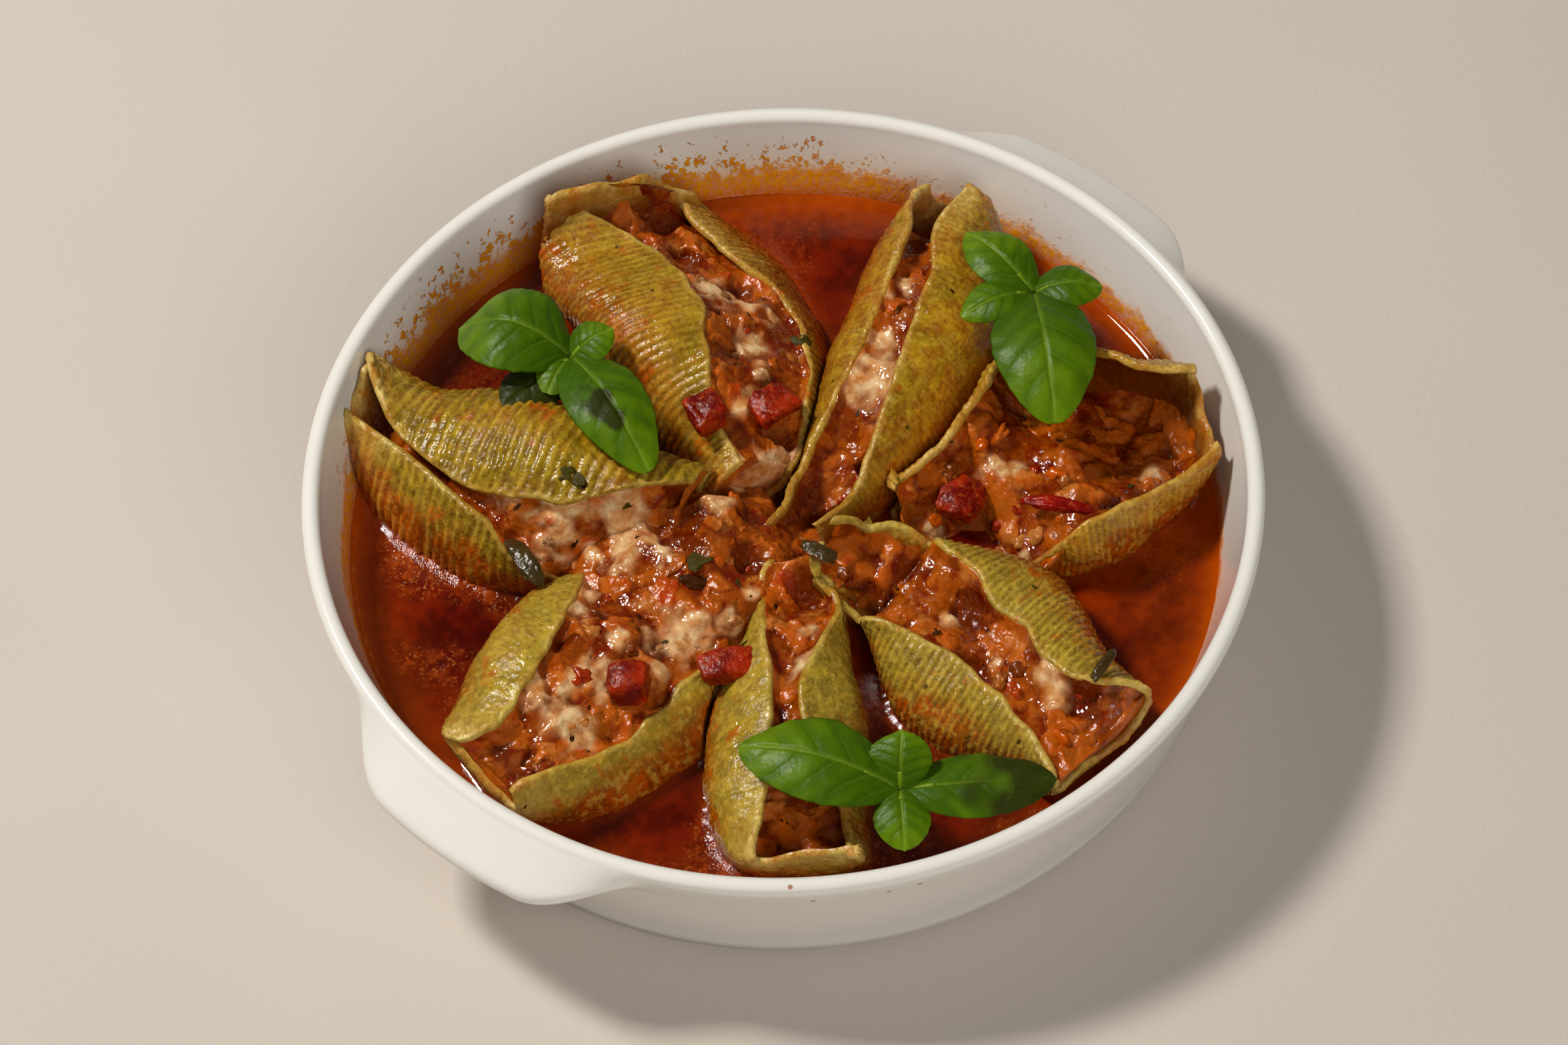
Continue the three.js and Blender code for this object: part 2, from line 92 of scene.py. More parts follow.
def make_piece(name, shape, finish, numbers, slot, *nodes):
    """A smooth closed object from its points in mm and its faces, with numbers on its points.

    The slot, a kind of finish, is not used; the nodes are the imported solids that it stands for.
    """
    points, faces = shape
    mesh = bpy.data.meshes.new(name)
    mesh.from_pydata((points * MM).tolist(), [], faces)
    skin = bmesh.new()
    skin.from_mesh(mesh)
    bmesh.ops.recalc_face_normals(skin, faces=skin.faces)
    skin.to_mesh(mesh)
    skin.free()
    mesh.shade_smooth()
    for key, values in numbers.items():
        layer = mesh.attributes.new(key, "FLOAT", "POINT")
        layer.data.foreach_set("value", np.asarray(values, dtype=np.float32).ravel())
    mesh.materials.append(finish)
    piece = bpy.data.objects.new(name, mesh)
    bpy.context.scene.collection.objects.link(piece)
    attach(piece, "root")
    if nodes:
        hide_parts(*nodes)
    print(f"{name}: {len(mesh.vertices)} points, {len(mesh.polygons)} faces")


def sandwich(top, under):
    """One closed skin from two grids of points that share their outer border."""
    rows, columns = top.shape[:2]
    front = np.arange(rows * columns).reshape(rows, columns)
    back = front.copy()
    inside = np.arange((rows - 2) * (columns - 2)).reshape(rows - 2, columns - 2)
    back[1:-1, 1:-1] = rows * columns + inside
    points = np.concatenate([top.reshape(-1, 3), under[1:-1, 1:-1].reshape(-1, 3)])
    return points, np.concatenate([quads(front), quads(back)[:, ::-1]]).tolist()


def both_sides(front, back):
    """Numbers for the points of a sandwich: the whole front, then the back's inside."""
    return np.concatenate([front.ravel(), back[1:-1, 1:-1].ravel()])


def turns(count):
    """Evenly spaced angles round a circle, as a column."""
    return np.linspace(0, 2 * np.pi, count, endpoint=False)[:, None]


def round_z(angle, radius, height):
    """Points at these angles round Z, at these radii and heights."""
    sides = np.broadcast_arrays(radius * np.cos(angle), radius * np.sin(angle), height)
    return np.stack(sides, axis=-1)


def capped(grid, first, last):
    """A closed body from rows of points round Z, closed by one more point at each end."""
    count, steps = grid.shape[:2]
    index = np.arange(count * steps).reshape(count, steps)
    index = np.concatenate([index, index[:1]])
    faces = quads(index).tolist()
    for pole, column in enumerate((0, -1)):
        edge = index[:, column].tolist()
        faces += [[count * steps + pole, a, b] for a, b in zip(edge, edge[1:])]
    return np.concatenate([grid.reshape(-1, 3), [first, last]]), faces


def box_mm(node):
    """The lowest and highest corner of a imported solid, in mm."""
    return [np.array(corner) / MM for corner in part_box(node)]


def tilted(across, up, turn):
    """A place in a cross-section, as how far sideways and up it is once that is turned."""
    return across * np.cos(turn) + up * np.sin(turn), up * np.cos(turn) - across * np.sin(turn)


def unit(vectors):
    """The same directions with length 1."""
    return vectors / np.maximum(np.linalg.norm(vectors, axis=-1, keepdims=True), 1e-9)


def facing(grid):
    """The direction that each point of a grid faces."""
    return unit(np.cross(np.gradient(grid, axis=0), np.gradient(grid, axis=1)))


def fade(value, low, high):
    """0 at low, 1 at high and a smooth step between; low may be the larger."""
    share = np.clip((value - low) / (high - low), 0, 1)
    return share * share * (3 - 2 * share)


print("3 by 3 points make", len(quads(np.arange(9).reshape(3, 3))), "faces")

# %% [markdown]
# Food is never smooth, so two kinds of unevenness are needed. *Drift* wanders gently
# up and down and bends a surface. *Pebbles* packs round lumps side by side, as mince and
# diced vegetables do, and also says which lump a point is on, so that each can have its
# own colour. Both are plain functions of a place in space and a seed, so they come out
# the same on every run, and a change in one piece leaves the others as they were.

# %% Drift and pebbles
dice = np.random.default_rng(7)
SHUFFLE = dice.permutation(256)
SLOPES = unit(dice.normal(size=(256, 3)))
CORNERS = list(itertools.product((0, 1), repeat=3))
NEIGHBOURS = list(itertools.product((-1, 0, 1), repeat=3))


def mixed(cell):
    """A number from 0 to 255 for each cell of space."""
    first = SHUFFLE[cell[..., 0] & 255]
    second = SHUFFLE[(first + cell[..., 1]) & 255]
    return SHUFFLE[(second + cell[..., 2]) & 255]


def drift(points, size, seed=0):
    """Smooth noise from about -1 to 1 whose swells are this many mm apart."""
    place = np.asarray(points) / size + 31.7 * seed
    cell = np.floor(place).astype(int)
    part = place - cell
    ease = part**3 * (part * (part * 6 - 15) + 10)
    total = np.zeros(place.shape[:-1])
    for corner in CORNERS:
        weight = np.prod(np.where(corner, ease, 1 - ease), axis=-1)
        total += weight * np.sum(SLOPES[mixed(cell + corner)] * (part - corner), axis=-1)
    return 1.7 * total


def pebbles(points, size, seed):
    """How high a point is on its own round lump (0 to 1), and the lump's own number."""
    place = np.asarray(points) / size + 17.3 * seed
    cell = np.floor(place).astype(int)
    nearest = np.full(place.shape[:-1], 9.0)
    label = np.zeros(place.shape[:-1])
    for step in NEIGHBOURS:
        number = mixed(cell + step)
        centre = cell + step + 0.5 + 0.45 * SLOPES[number]
        away = np.linalg.norm(place - centre, axis=-1)
        closer = away < nearest
        nearest = np.where(closer, away, nearest)
        label = np.where(closer, number / 255, label)
    return np.sqrt(np.clip(1 - (nearest / 0.75) ** 2, 0, 1)), label


print("drift and pebbles are ready:", round(float(drift(np.ones((1, 3)), 3.3)[0]), 3))

# %% [markdown]
# A material in Blender is a graph of nodes. Its arithmetic is far easier to read as
# Python than as a web of boxes, so `Tone` wraps one socket and turns `+`, `-`, `*` and
# `/` into Math nodes. `Finish` holds a material and has a single method that adds any
# other node. Colours never go through a Math node, which would turn them grey. They are
# laid over each other by `layers`, from the lowest up, as a painter lays glazes, and
# written as a paint chart gives them, with red, green and blue from 0 to 255.

# %% Shader tools
def paint(red, green, blue):
    """A colour from 0 to 255, in the linear light of a shader."""
    return tuple((v / 255) ** 2.2 for v in (red, green, blue)) + (1.0,)


class Tone:
    """One socket of a finish, with Math nodes behind its operators."""

    def __init__(self, finish, socket):
        self.finish = finish
        self.socket = socket

    def maths(self, operation, *values):
        return self.finish.node("ShaderNodeMath", {"operation": operation}, dict(enumerate(values)))

    def __add__(self, other):
        return self.maths("ADD", self, other)

    def __sub__(self, other):
        return self.maths("SUBTRACT", self, other)

    def __rsub__(self, other):
        return self.maths("SUBTRACT", other, self)

    def __mul__(self, other):
        return self.maths("MULTIPLY", self, other)

    def __truediv__(self, other):
        return self.maths("DIVIDE", self, other)

    __radd__ = __add__
    __rmul__ = __mul__

    def most(self, other):
        return self.maths("MAXIMUM", self, other)

    def least(self, other):
        return self.maths("MINIMUM", self, other)

    def fade(self, low, high):
        """0 below low, 1 above high and a smooth step between; low may be the larger."""
        step = self.finish.node(
            "ShaderNodeMapRange",
            {"interpolation_type": "SMOOTHSTEP"},
            {"Value": self, "From Min": min(low, high), "From Max": max(low, high)},
        )
        return step if low < high else 1 - step


class Finish:
    """A material with one Principled shader.

    Where light goes into it, soft says how much of it does, how far its red, green and
    blue spread against each other, and how many mm a spread of 1 is.
    """

    def __init__(self, name, shine, soft=None):
        self.material = bpy.data.materials.new(name)
        self.material.use_nodes = True
        self.nodes = self.material.node_tree.nodes
        self.shader = self.nodes["Principled BSDF"]
        self.wear(Specular_IOR_Level=shine)
        if soft:
            weight, spread, depth = soft
            self.wear(Subsurface_Weight=weight, Subsurface_Radius=spread, Subsurface_Scale=depth * MM)
        self.place = self.node("ShaderNodeTexCoord", output="Object")
        self.axes = {}

    def join(self, value, socket):
        if isinstance(value, Tone):
            self.material.node_tree.links.new(value.socket, socket)
        else:
            socket.default_value = value

    def node(self, kind, settings=None, sockets=None, output=0):
        made = self.nodes.new(kind)
        for key, value in (settings or {}).items():
            setattr(made, key, value)
        for key, value in (sockets or {}).items():
            self.join(value, made.inputs[key])
        return Tone(self, made.outputs[output])

    def number(self, key):
        """A number stored on the piece's points."""
        return self.node("ShaderNodeAttribute", {"attribute_name": key}, output="Fac")

    def numbers(self, *keys):
        """Several stored numbers."""
        return [self.number(key) for key in keys]

    def axis(self, letter):
        """The x, y or z of the place being shaded, in mm."""
        if not self.axes:
            split = self.node("ShaderNodeSeparateXYZ", {}, {0: self.place})
            outputs = split.socket.node.outputs
            self.axes = {key: Tone(self, outputs[k]) * 1000 for k, key in enumerate("xyz")}
        return self.axes[letter]

    def noise(self, size, detail=3.0, roughness=0.55, place=None):
        """Noise from 0 to 1 whose features are about this many mm apart."""
        sockets = {"Vector": place or self.place, "Scale": 1000 / size, "Detail": detail}
        return self.node("ShaderNodeTexNoise", {}, {**sockets, "Roughness": roughness})

    def spots(self, size):
        """The distance, 0 to about 1, from the middle of spots this many mm apart."""
        sockets = {"Vector": self.place, "Scale": 1000 / size}
        return self.node("ShaderNodeTexVoronoi", {}, sockets, output="Distance")

    def mix(self, factor, *colours):
        """A colour between two others, each another mix or plain red, green and blue."""
        first, second = (c if isinstance(c, Tone) else paint(*c) for c in colours)
        sockets = {0: factor, 6: first, 7: second}
        return self.node("ShaderNodeMix", {"data_type": "RGBA"}, sockets, output=2)

    def layers(self, colour, *coats):
        """A colour with coats over it, each given as how much it covers and its colour."""
        for cover, coat in coats:
            colour = self.mix(cover, colour, coat)
        return colour

    def bump(self, height, distance):
        """A normal bent by a height; distance is how many mm a height of 1 stands."""
        return self.node("ShaderNodeBump", {}, {"Height": height, "Distance": distance * MM})

    def wear(self, **looks):
        """Feeds the shader's sockets, their spaces written as underscores."""
        for key, value in looks.items():
            self.join(value, self.shader.inputs[key.replace("_", " ")])
        return self.material


print("a half bright grey of 128 is", round(paint(128, 128, 128)[0], 3), "in a shader's light")


# %% [markdown]
# ## The dish
# The dish is glazed white porcelain, turned on a wheel or pressed to look so, with two
# small ears to lift it by. A lathe-turned outline gives everything but the ears. The
# same outline is therefore kept in two forms, one plain and one that runs out round an
# ear, and each direction round the dish blends the two. That gives the ears the soft
# hollow corners that clay has, which a joined-on block wouldn't.

# %% Sizes of the dish
EAR_END, RIM_RADIUS, DISH_HEIGHT = box_mm("dish")[1]
WALL = 4
FLOOR = 6
FLARE = 10  # how much wider the dish is at its rim than at its base
CORNER = 8  # radius of the inner corner, between wall and floor
RIM_ROUND = 2  # radius of the rim's edge
EAR_ROUND = 2.6  # radius of an ear's edge
EAR_DROP = 8.9  # how far the middle of that edge is below the rim
EDGE_START = 2.6  # how far below the rim the wall begins to round over
EAR_TOP = 30  # the height at which an ear's underside leaves the wall
EAR_FLAT = 9  # half the angle of an ear's flat end, in degrees
EAR_ROOT = 23.5  # half the angle of its root
UNEVEN = 0.12  # how far out of round the clay has settled
ROUND_THE_DISH = 540  # how many outlines make the whole dish
print(f"the dish is {2 * RIM_RADIUS:.1f} mm across, and its ears end at {EAR_END:.1f} mm")

# Points on the outline, as (radius, height): the base with its foot ring, then an ear's
# underside and its upper side.
BASE = [(2, 1.2), (78, 1.2), (81, 1.2), (82, 0), (84, 0), (89, 0), (91, 0.4), (91.6, 2.6), (92.4, 7)]
UNDER_EAR = [(99.6, 33), (102.4, 31.6)]
OVER_EAR = [(103.6, 36.9), (101.4, 38.6)]


def inner_radius(height):
    """The radius of the dish's inner wall at a height."""
    return RIM_RADIUS - WALL - FLARE * (1 - height / DISH_HEIGHT)


def wall_radius(height):
    """The radius of its outer wall, which is straight between the two rounded edges."""
    return RIM_RADIUS - FLARE * (1 - (height - RIM_ROUND) / (DISH_HEIGHT - 2 * RIM_ROUND))


# %% The dish's outline
def rounded(corners, times=3):
    """Cuts the corners of a line again and again, which makes it a smooth curve."""
    line = np.array(corners, float)
    for _ in range(times):
        near = 0.75 * line[:-1] + 0.25 * line[1:]
        far = 0.25 * line[:-1] + 0.75 * line[1:]
        between = np.stack([near, far], axis=1).reshape(-1, line.shape[1])
        line = np.concatenate([line[:1], between, line[-1:]])
    return line


def evenly(line, count):
    """The same line with this many evenly spaced points."""
    steps = np.linalg.norm(np.diff(line, axis=0), axis=1)
    run = np.concatenate([[0], np.cumsum(steps)])
    places = np.linspace(0, run[-1], count)
    return np.stack([np.interp(places, run, values) for values in line.T], axis=1)


def arc(centre, radius, start, end, count):
    """Points on an arc, its angles in degrees."""
    angle = np.radians(np.linspace(start, end, count))
    return np.stack([centre[0] + radius * np.cos(angle), centre[1] + radius * np.sin(angle)], axis=1)


rim = arc((RIM_RADIUS - RIM_ROUND, DISH_HEIGHT - RIM_ROUND), RIM_ROUND, 30, 176, 14)
base = evenly(rounded(BASE), 40)
wall = evenly(np.array([base[-1], (wall_radius(EAR_TOP), EAR_TOP)]), 14)
ear_edge = arc((EAR_END - EAR_ROUND, DISH_HEIGHT - EAR_DROP), EAR_ROUND, -110, 48, 14)
plain_line = [wall[-1], (RIM_RADIUS, DISH_HEIGHT - EDGE_START), rim[0]]
eared_line = [wall[-1], *UNDER_EAR, *ear_edge, *OVER_EAR, rim[0]]
corner_height = FLOOR + CORNER
corner_middle = (inner_radius(corner_height) - CORNER, corner_height)
inner_wall = evenly(np.array([rim[-1], (inner_radius(corner_height), corner_height)]), 26)
inner_floor = [*arc(corner_middle, CORNER, 0, -90, 10), (60, FLOOR), (30, FLOOR), (2, FLOOR)]


def outline(upper_line):
    """The whole outline, from the middle of the base round to the middle of the floor."""
    upper = evenly(rounded(upper_line, 2), 44)
    return np.concatenate([base, wall[1:], upper[1:], rim[1:], inner_wall[1:], inner_floor])


plain, eared = outline(plain_line), outline(eared_line)
print("an outline has", len(plain), "points, and the same number where there is an ear:", len(eared))

# %% Turn the dish
def ear_share(angle):
    """How much of an ear a direction round the dish has, from 0 to 1."""
    from_ear = np.abs((np.degrees(angle) + 90) % 180 - 90)
    fall = np.clip((from_ear - EAR_FLAT) / (EAR_ROOT - EAR_FLAT), 0, 1)
    return 0.5 + 0.5 * np.cos(np.pi * fall)


angles = turns(ROUND_THE_DISH)
radius, height = np.moveaxis(plain + ear_share(angles)[..., None] * (eared - plain), -1, 0)
first, last = ([0, 0, height[0, end]] for end in (0, -1))
dish_points, dish_faces = capped(round_z(angles, radius, height), first, last)
settle = UNEVEN * drift(dish_points, 45, 3)[:, None] * np.array([1, 1, 0])
dish_points = dish_points + settle * unit(dish_points * [1, 1, 0])
inside_from = len(plain) - len(inner_wall) - len(inner_floor) + 1
inside = np.tile(fade(np.arange(len(plain)), inside_from - 8, inside_from), ROUND_THE_DISH)
inside = np.concatenate([inside, [0, 1]])

# %% [markdown]
# The glaze is smooth and bright, but the dish has been in the oven. Sauce has boiled up
# the inner wall and dried on in orange blotches, thickest on one side, with a tide mark
# along the sauce, and there are a few small brown spots. The stain is one mask that grows
# with noise towards the sauce, so it looks thrown up from below.

# %% The glaze and its stains
SAUCE_LEVEL = box_mm("sauce")[1][2]
BOILED_SIDE = math.radians(70)  # the side where most sauce boiled up the wall
SPATTER_HEIGHTS = (21, 12)  # over the sauce: where the spatter ends, and where it is full


def glaze():
    finish = Finish("porcelain", shine=0.3)
    x, y, z = (finish.axis(letter) for letter in "xyz")
    inner = finish.number("inside")
    towards = (x * math.cos(BOILED_SIDE) + y * math.sin(BOILED_SIDE)) / RIM_RADIUS
    boiled = towards.fade(0.2, 0.85)
    wall_place = finish.node("ShaderNodeCombineXYZ", {}, {0: x * MM, 1: y * MM, 2: z * (0.95 * MM)})
    broad, fine = finish.noise(12, 4, 0.6, wall_place), finish.noise(2.6, 4, 0.6, wall_place)
    speckle = finish.noise(1.0, 3, 0.6)
    climb = z - SAUCE_LEVEL
    tide = (8 * broad + 6 * fine + 3.5 * towards + 1 - climb).fade(0.5, 4.5) * (0.75 + 0.5 * fine)
    boil_height = 6 + 8 * boiled + 16 * (broad - 0.5)
    thinning = ((boil_height - climb) / 10).most(-1.0).least(1.0)
    dotted = (fine * 0.62 + speckle * 0.38 - 0.57 + 0.18 * thinning).fade(0.0, 0.04)
    spatter = (fine * 0.5 + speckle * 0.5 + 0.03 * boiled).fade(0.63, 0.67) * climb.fade(*SPATTER_HEIGHTS)
    around = (0.2 + 0.8 * towards.fade(-0.5, 0.8)) * inner
    stain = (tide.most(dotted * boiled.most(0.25)).most(spatter * 0.7 * around) * inner).least(1.0)
    deposit = stain * (0.8 + 0.2 * speckle.fade(0.4, 0.55))
    # A warm wash low on the inner wall is painted light: the sauce's colour bounced onto the glaze.
    film = climb.fade(18.0, 0.0) * inner * (0.15 + 0.45 * boiled)
    orange = finish.mix(speckle.fade(0.35, 0.65), (212, 112, 2), (234, 156, 12))
    thickest = (fine.fade(0.55, 0.7) * 0.5).most(climb.fade(5.0, 1.0) * 0.85)
    spots = finish.spots(7.5).fade(0.10, 0.05) * finish.noise(26, 1).fade(0.55, 0.64)
    colour = finish.layers(
        finish.mix(broad, (230, 228, 221), (236, 233, 226)),
        (film, (232, 178, 96)),
        (deposit, finish.mix(thickest, orange, (198, 88, 1))),
        (spots * (1 - inner * 0.5), (168, 112, 62)),
    )
    relief = finish.bump(broad * 0.6 + deposit * fine * 2.4, 0.12)
    finish.wear(Coat_Weight=0.6 - 0.6 * deposit, Coat_Roughness=0.04)
    return finish.wear(Base_Color=colour, Roughness=0.16 + 0.44 * deposit, Normal=relief)


make_piece("baking_dish", (dish_points, dish_faces), glaze(), {"inside": inside}, "porcelain", "dish")

# %% [markdown]
# ## The shells
# A jumbo pasta shell is a thin ribbed sheet curled round on itself, open along the top
# between two lips. It could be sculpted, but a curled sheet is easier to control as a
# row of cross-sections: each is most of an ellipse, and its width, depth, gap, height
# and turn change smoothly along the shell. Five to nine values of each are enough, nearly
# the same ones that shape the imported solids, so the finer shells lie where those do.

# %% Sizes of the shells
PASTA = 1.8  # thickness of the cooked pasta
END_ANGLE = 0.46 * math.pi  # how closely the values crowd towards the ends
LOWEST_KEEL = 9  # no shell reaches lower than this over the dish's foot

# Along each shell: its width and depth, the gap between its lips, the height of its top,
# its turn in degrees, how far its filling bulges (fill) or runs over its lip (spill), and
# how much of each side is filled (reach, and far_reach where the sides differ). Then the
# ribs' pitch, and how strong each look is: brown has a value for each side, partly brown
# stain and partly painted shade on that side, and crisp has one for each end.
SHELLS = {
    "shell_1": dict(
        start=(0, 9), end=(40, 78), bow=-7,
        width=(15, 31, 58, 55, 29), depth=(13, 32, 34, 24, -8),
        gap=(11, 16, 21, 23, 22, 15, 11, 20, 28), top=(36, 40, 41, 34, 37),
        turn=(-51, -23, -35, -20, -26), fill=(0, 1, 1, 0, -1, -2, 0, 4, 7),
        reach=(1, 1, 1, 1, 1, 0.98, 0.9, 0.75, 0.5),
        pitch=1.75, ribs=0.8, pale=0.4, olive=0.35, brown=(0.62, 0.1), crisp=(0, 0.5), lip=0.7,
    ),
    "shell_2": dict(
        start=(-4, -13), end=(-7, -91), bow=6,
        width=(15, 20, 47, 32, 33), depth=(15, 18, 28, 25, 9),
        gap=(4, 14, 25, 19, 12, 10, 14, 26, 35), top=(40, 41, 36, 37, 39),
        turn=(-49, -12, -11, -22, 17), fill=(-3, -4, -3, -2, -3), reach=(1, 1, 1, 1, 0.93),
        pitch=1.6, ribs=1.0, pale=1, olive=0.75, brown=(0.7, 0), crisp=(0.3, 0.5), lip=0.9,
    ),
    "shell_3": dict(
        start=(-5, -6), end=(89, 21), bow=-5,
        width=(14, 18, 35, 33, 10), depth=(12, 25, 31, 31, 6),
        gap=(5, 10, 14, 10, 7, 7, 5, 9, 7), top=(35, 37, 40, 40, 36),
        turn=(3, 8, 15, 23, 32), fill=(-3, -4, -1, -3, -1),
        reach=(0.72, 0.85, 0.95, 1, 1, 1, 0.9, 0.62, 0.5),
        pitch=1.6, ribs=0.4, pale=0.1, olive=0.3, brown=(0.55, 0.25), crisp=(0, 1), lip=0.7,
    ),
    "shell_4": dict(
        start=(16, -15), end=(73, -58), bow=2,
        width=(12, 20, 55, 35, 16), depth=(12, 23, 32, 35, 4),
        gap=(7, 24, 44, 24, 12), top=(32, 34, 42, 45, 40),
        turn=(-61, -71, -3, -20, -21), fill=(0, 2, 0, -4, -2), spill=(0, 10, 16, 8, 0, 0, 0, 0, 0),
        reach=(1, 1, 1, 1, 0.97, 0.95, 0.88, 0.72, 0.4),
        far_reach=(1, 1, 1, 0.85, 0.62, 0.52, 0.46, 0.4, 0.3),
        pitch=1.5, ribs=0.7, pale=0.6, olive=0.1, brown=(0.5, 0.45), crisp=(0, 0.4), lip=0.6,
    ),
    "shell_5": dict(
        start=(-7, -13), end=(-68, -60), bow=-4.5,
        width=(17, 21, 34, 33, 22), depth=(12, 29, 29, 25, 3),
        gap=(6, 15, 4, 15, 21), top=(38, 38, 38, 34, 39),
        turn=(-39, 2, 0, 13, -23), fill=(-1, -1, -1, -2, -2),
        reach=(1, 1, 1, 1, 1, 0.92, 0.8, 0.65, 0.45),
        pitch=1.6, ribs=0.2, pale=0.9, olive=0.7, brown=(0.15, 0.1), crisp=(0.2, 0.6), lip=1,
    ),
    "shell_6": dict(
        start=(-13, 12), end=(-33, 91), bow=8,
        width=(23, 35, 45, 32, 13), depth=(8, 31, 33, 25, 1.5),
        gap=(9, 18, 24, 14, 4, 1.5, 2, 7, 12), top=(34, 42, 43, 35, 38.5),
        turn=(19, 60, 47, 20, 20), fill=(0, 1, -1, -1, -1),
        reach=(1, 1, 1, 1, 1, 0.95, 0.75, 0.4, 0.35),
        pitch=2.3, ribs=1.0, pale=0.15, olive=0.6, brown=(0.68, 0.2), crisp=(0, 1), lip=0.8,
    ),
    "shell_7": dict(
        start=(-37, 4), end=(-92, 7), bow=1,
        width=(40, 51, 49, 35, 18), depth=(15, 28, 29, 28, 1.5),
        gap=(40, 34, 28, 25, 22, 17, 11, 12, 17), top=(34, 37, 39, 39, 37),
        turn=(-8, 6, 22, 20, 20), fill=(2, 3, 2, 0, -1),
        reach=(1, 1, 1, 1, 1, 1, 0.97, 0.92, 0.9),
        pitch=1.6, ribs=0.25, pale=1, olive=0.55, brown=(0.25, 0.35), crisp=(0, 0.7), lip=0.7,
    ),
}


def along(values, share):
    """A smooth value through evenly spaced ones (Catmull-Rom)."""
    first, last = 2 * values[0] - values[1], 2 * values[-1] - values[-2]
    spaced = np.array([first, *values, last], float)
    place = np.clip(share, 0, 1) * (len(values) - 1)
    k = np.minimum(np.floor(place).astype(int), len(values) - 2)
    t = place - k
    before, here, after, later = (spaced[k + step] for step in range(4))
    rise, leave, step = (after - before) / 2, (later - here) / 2, after - here
    return here + rise * t + (3 * step - 2 * rise - leave) * t**2 + (rise + leave - 2 * step) * t**3


def share_at(run):
    """Where a place along a shell falls between its values, which crowd at the ends."""
    bent = np.arcsin(np.clip(2 * run - 1, -1, 1) * math.sin(END_ANGLE))
    return (bent / END_ANGLE + 1) / 2


class Curl:
    """The long axis of a shell and the ellipse round it at each place along it."""

    def __init__(self, shell):
        self.shell = shell
        self.start = np.array(shell["start"], float)
        line = np.array(shell["end"]) - self.start
        self.length = np.linalg.norm(line)
        self.ahead = line / self.length
        self.left = np.array([-self.ahead[1], self.ahead[0]])

    def sizes(self, run):
        shell, share = self.shell, share_at(run)
        width, gap, top = (along(shell[key], share) for key in ("width", "gap", "top"))
        depth = np.minimum(along(shell["depth"], share), top - LOWEST_KEEL)
        turn = np.radians(along(shell["turn"], share))
        bow = shell["bow"] * (1 - (2 * run - 1) ** 2)
        return width, depth, gap, top, turn, bow

    def surface(self, run, spot):
        """The outer face: spot is -1 on the right lip, 0 on the keel, 1 on the left lip."""
        width, depth, gap, top, turn, bow = self.sizes(run)
        lip_angle = np.pi - np.arcsin(np.clip(gap / width, 0.02, 1))
        flare = np.maximum(gap / width, 1) - 1
        across = width / 2 * np.sin(spot * lip_angle) * (1 + flare * spot**4)
        up = -depth / 2 * np.cos(spot * lip_angle)
        sideways, lift = tilted(across, up, turn)
        forward, sideways = run * self.length, sideways + bow
        plan = self.start + forward[..., None] * self.ahead + sideways[..., None] * self.left
        return np.concatenate([plan, (top - depth / 2 + lift)[..., None]], axis=-1)

    def push_out(self, points, clear):
        """How far each point must move to lie this clear of the shell."""
        flat = points[..., :2] - self.start
        run = flat @ self.ahead / self.length
        width, depth, _, top, turn, bow = self.sizes(np.clip(run, 0, 1))
        across, up = tilted(flat @ self.left - bow, points[..., 2] - (top - depth / 2), -turn)
        wide, tall = width / 2 + clear, np.maximum(depth, 4) / 2 + clear
        out = np.maximum(np.hypot(across / wide, up / tall), 0.2)
        near_end = fade(np.minimum(run, 1 - run) * self.length, -2, 4)
        grow = np.maximum(1 / out - 1, 0) * near_end
        level, lift = tilted(across * grow, up * grow, turn)
        return np.concatenate([level[..., None] * self.left, lift[..., None]], axis=-1)


print("the shells' lengths:", [round(float(Curl(shell).length)) for shell in SHELLS.values()])

# %% [markdown]
# The sheet itself has two faces that meet in a rounded edge all the way round. Its ribs
# run from lip to lip and are pressed into the outer face by the die, so they are real
# ridges here. Baking has made the lips wavy and blistered the dry tips. Where two shells
# lean on each other, the lower one gives way: its sheet is pushed clear of the upper
# one, and the push is blurred so that the sheet bends rather than creases.

# %% Curl the sheets
RIB_HEIGHT = 0.42
BLISTER_HEIGHT = 0.55
ROW_STEP = 0.36  # distance from one row of points to the next along a sheet
COLUMNS = 104  # points in a row, from lip to lip
CLEARANCE = 0.3  # how far apart two leaning sheets stay
RAGGED = 0.022  # how unevenly the lips end, as a share of the way round
TORN = 0.008  # how unevenly the ends do, as a share of the length


def blurred(field, times):
    """A grid of vectors, each averaged with its neighbours again and again."""
    for _ in range(times):
        for axis in (0, 1):
            edge = np.pad(field, [(1, 1) if k == axis else (0, 0) for k in range(3)], mode="edge")
            ahead = np.take(edge, range(2, edge.shape[axis]), axis)
            behind = np.take(edge, range(edge.shape[axis] - 2), axis)
            field = 0.5 * field + 0.25 * (ahead + behind)
    return field


def run_of(grid, axis):
    """How far each point of a grid is from the start of its row or column."""
    steps = np.diff(grid, axis=axis, prepend=np.take(grid, [0], axis))
    return np.cumsum(np.linalg.norm(steps, axis=-1), axis=axis)


def outwards_of(grid, surface):
    """Which way is out at each point of a curled grid."""
    out = facing(surface)
    return out * np.sign(np.sum(out * (grid - grid.mean(axis=1, keepdims=True))))


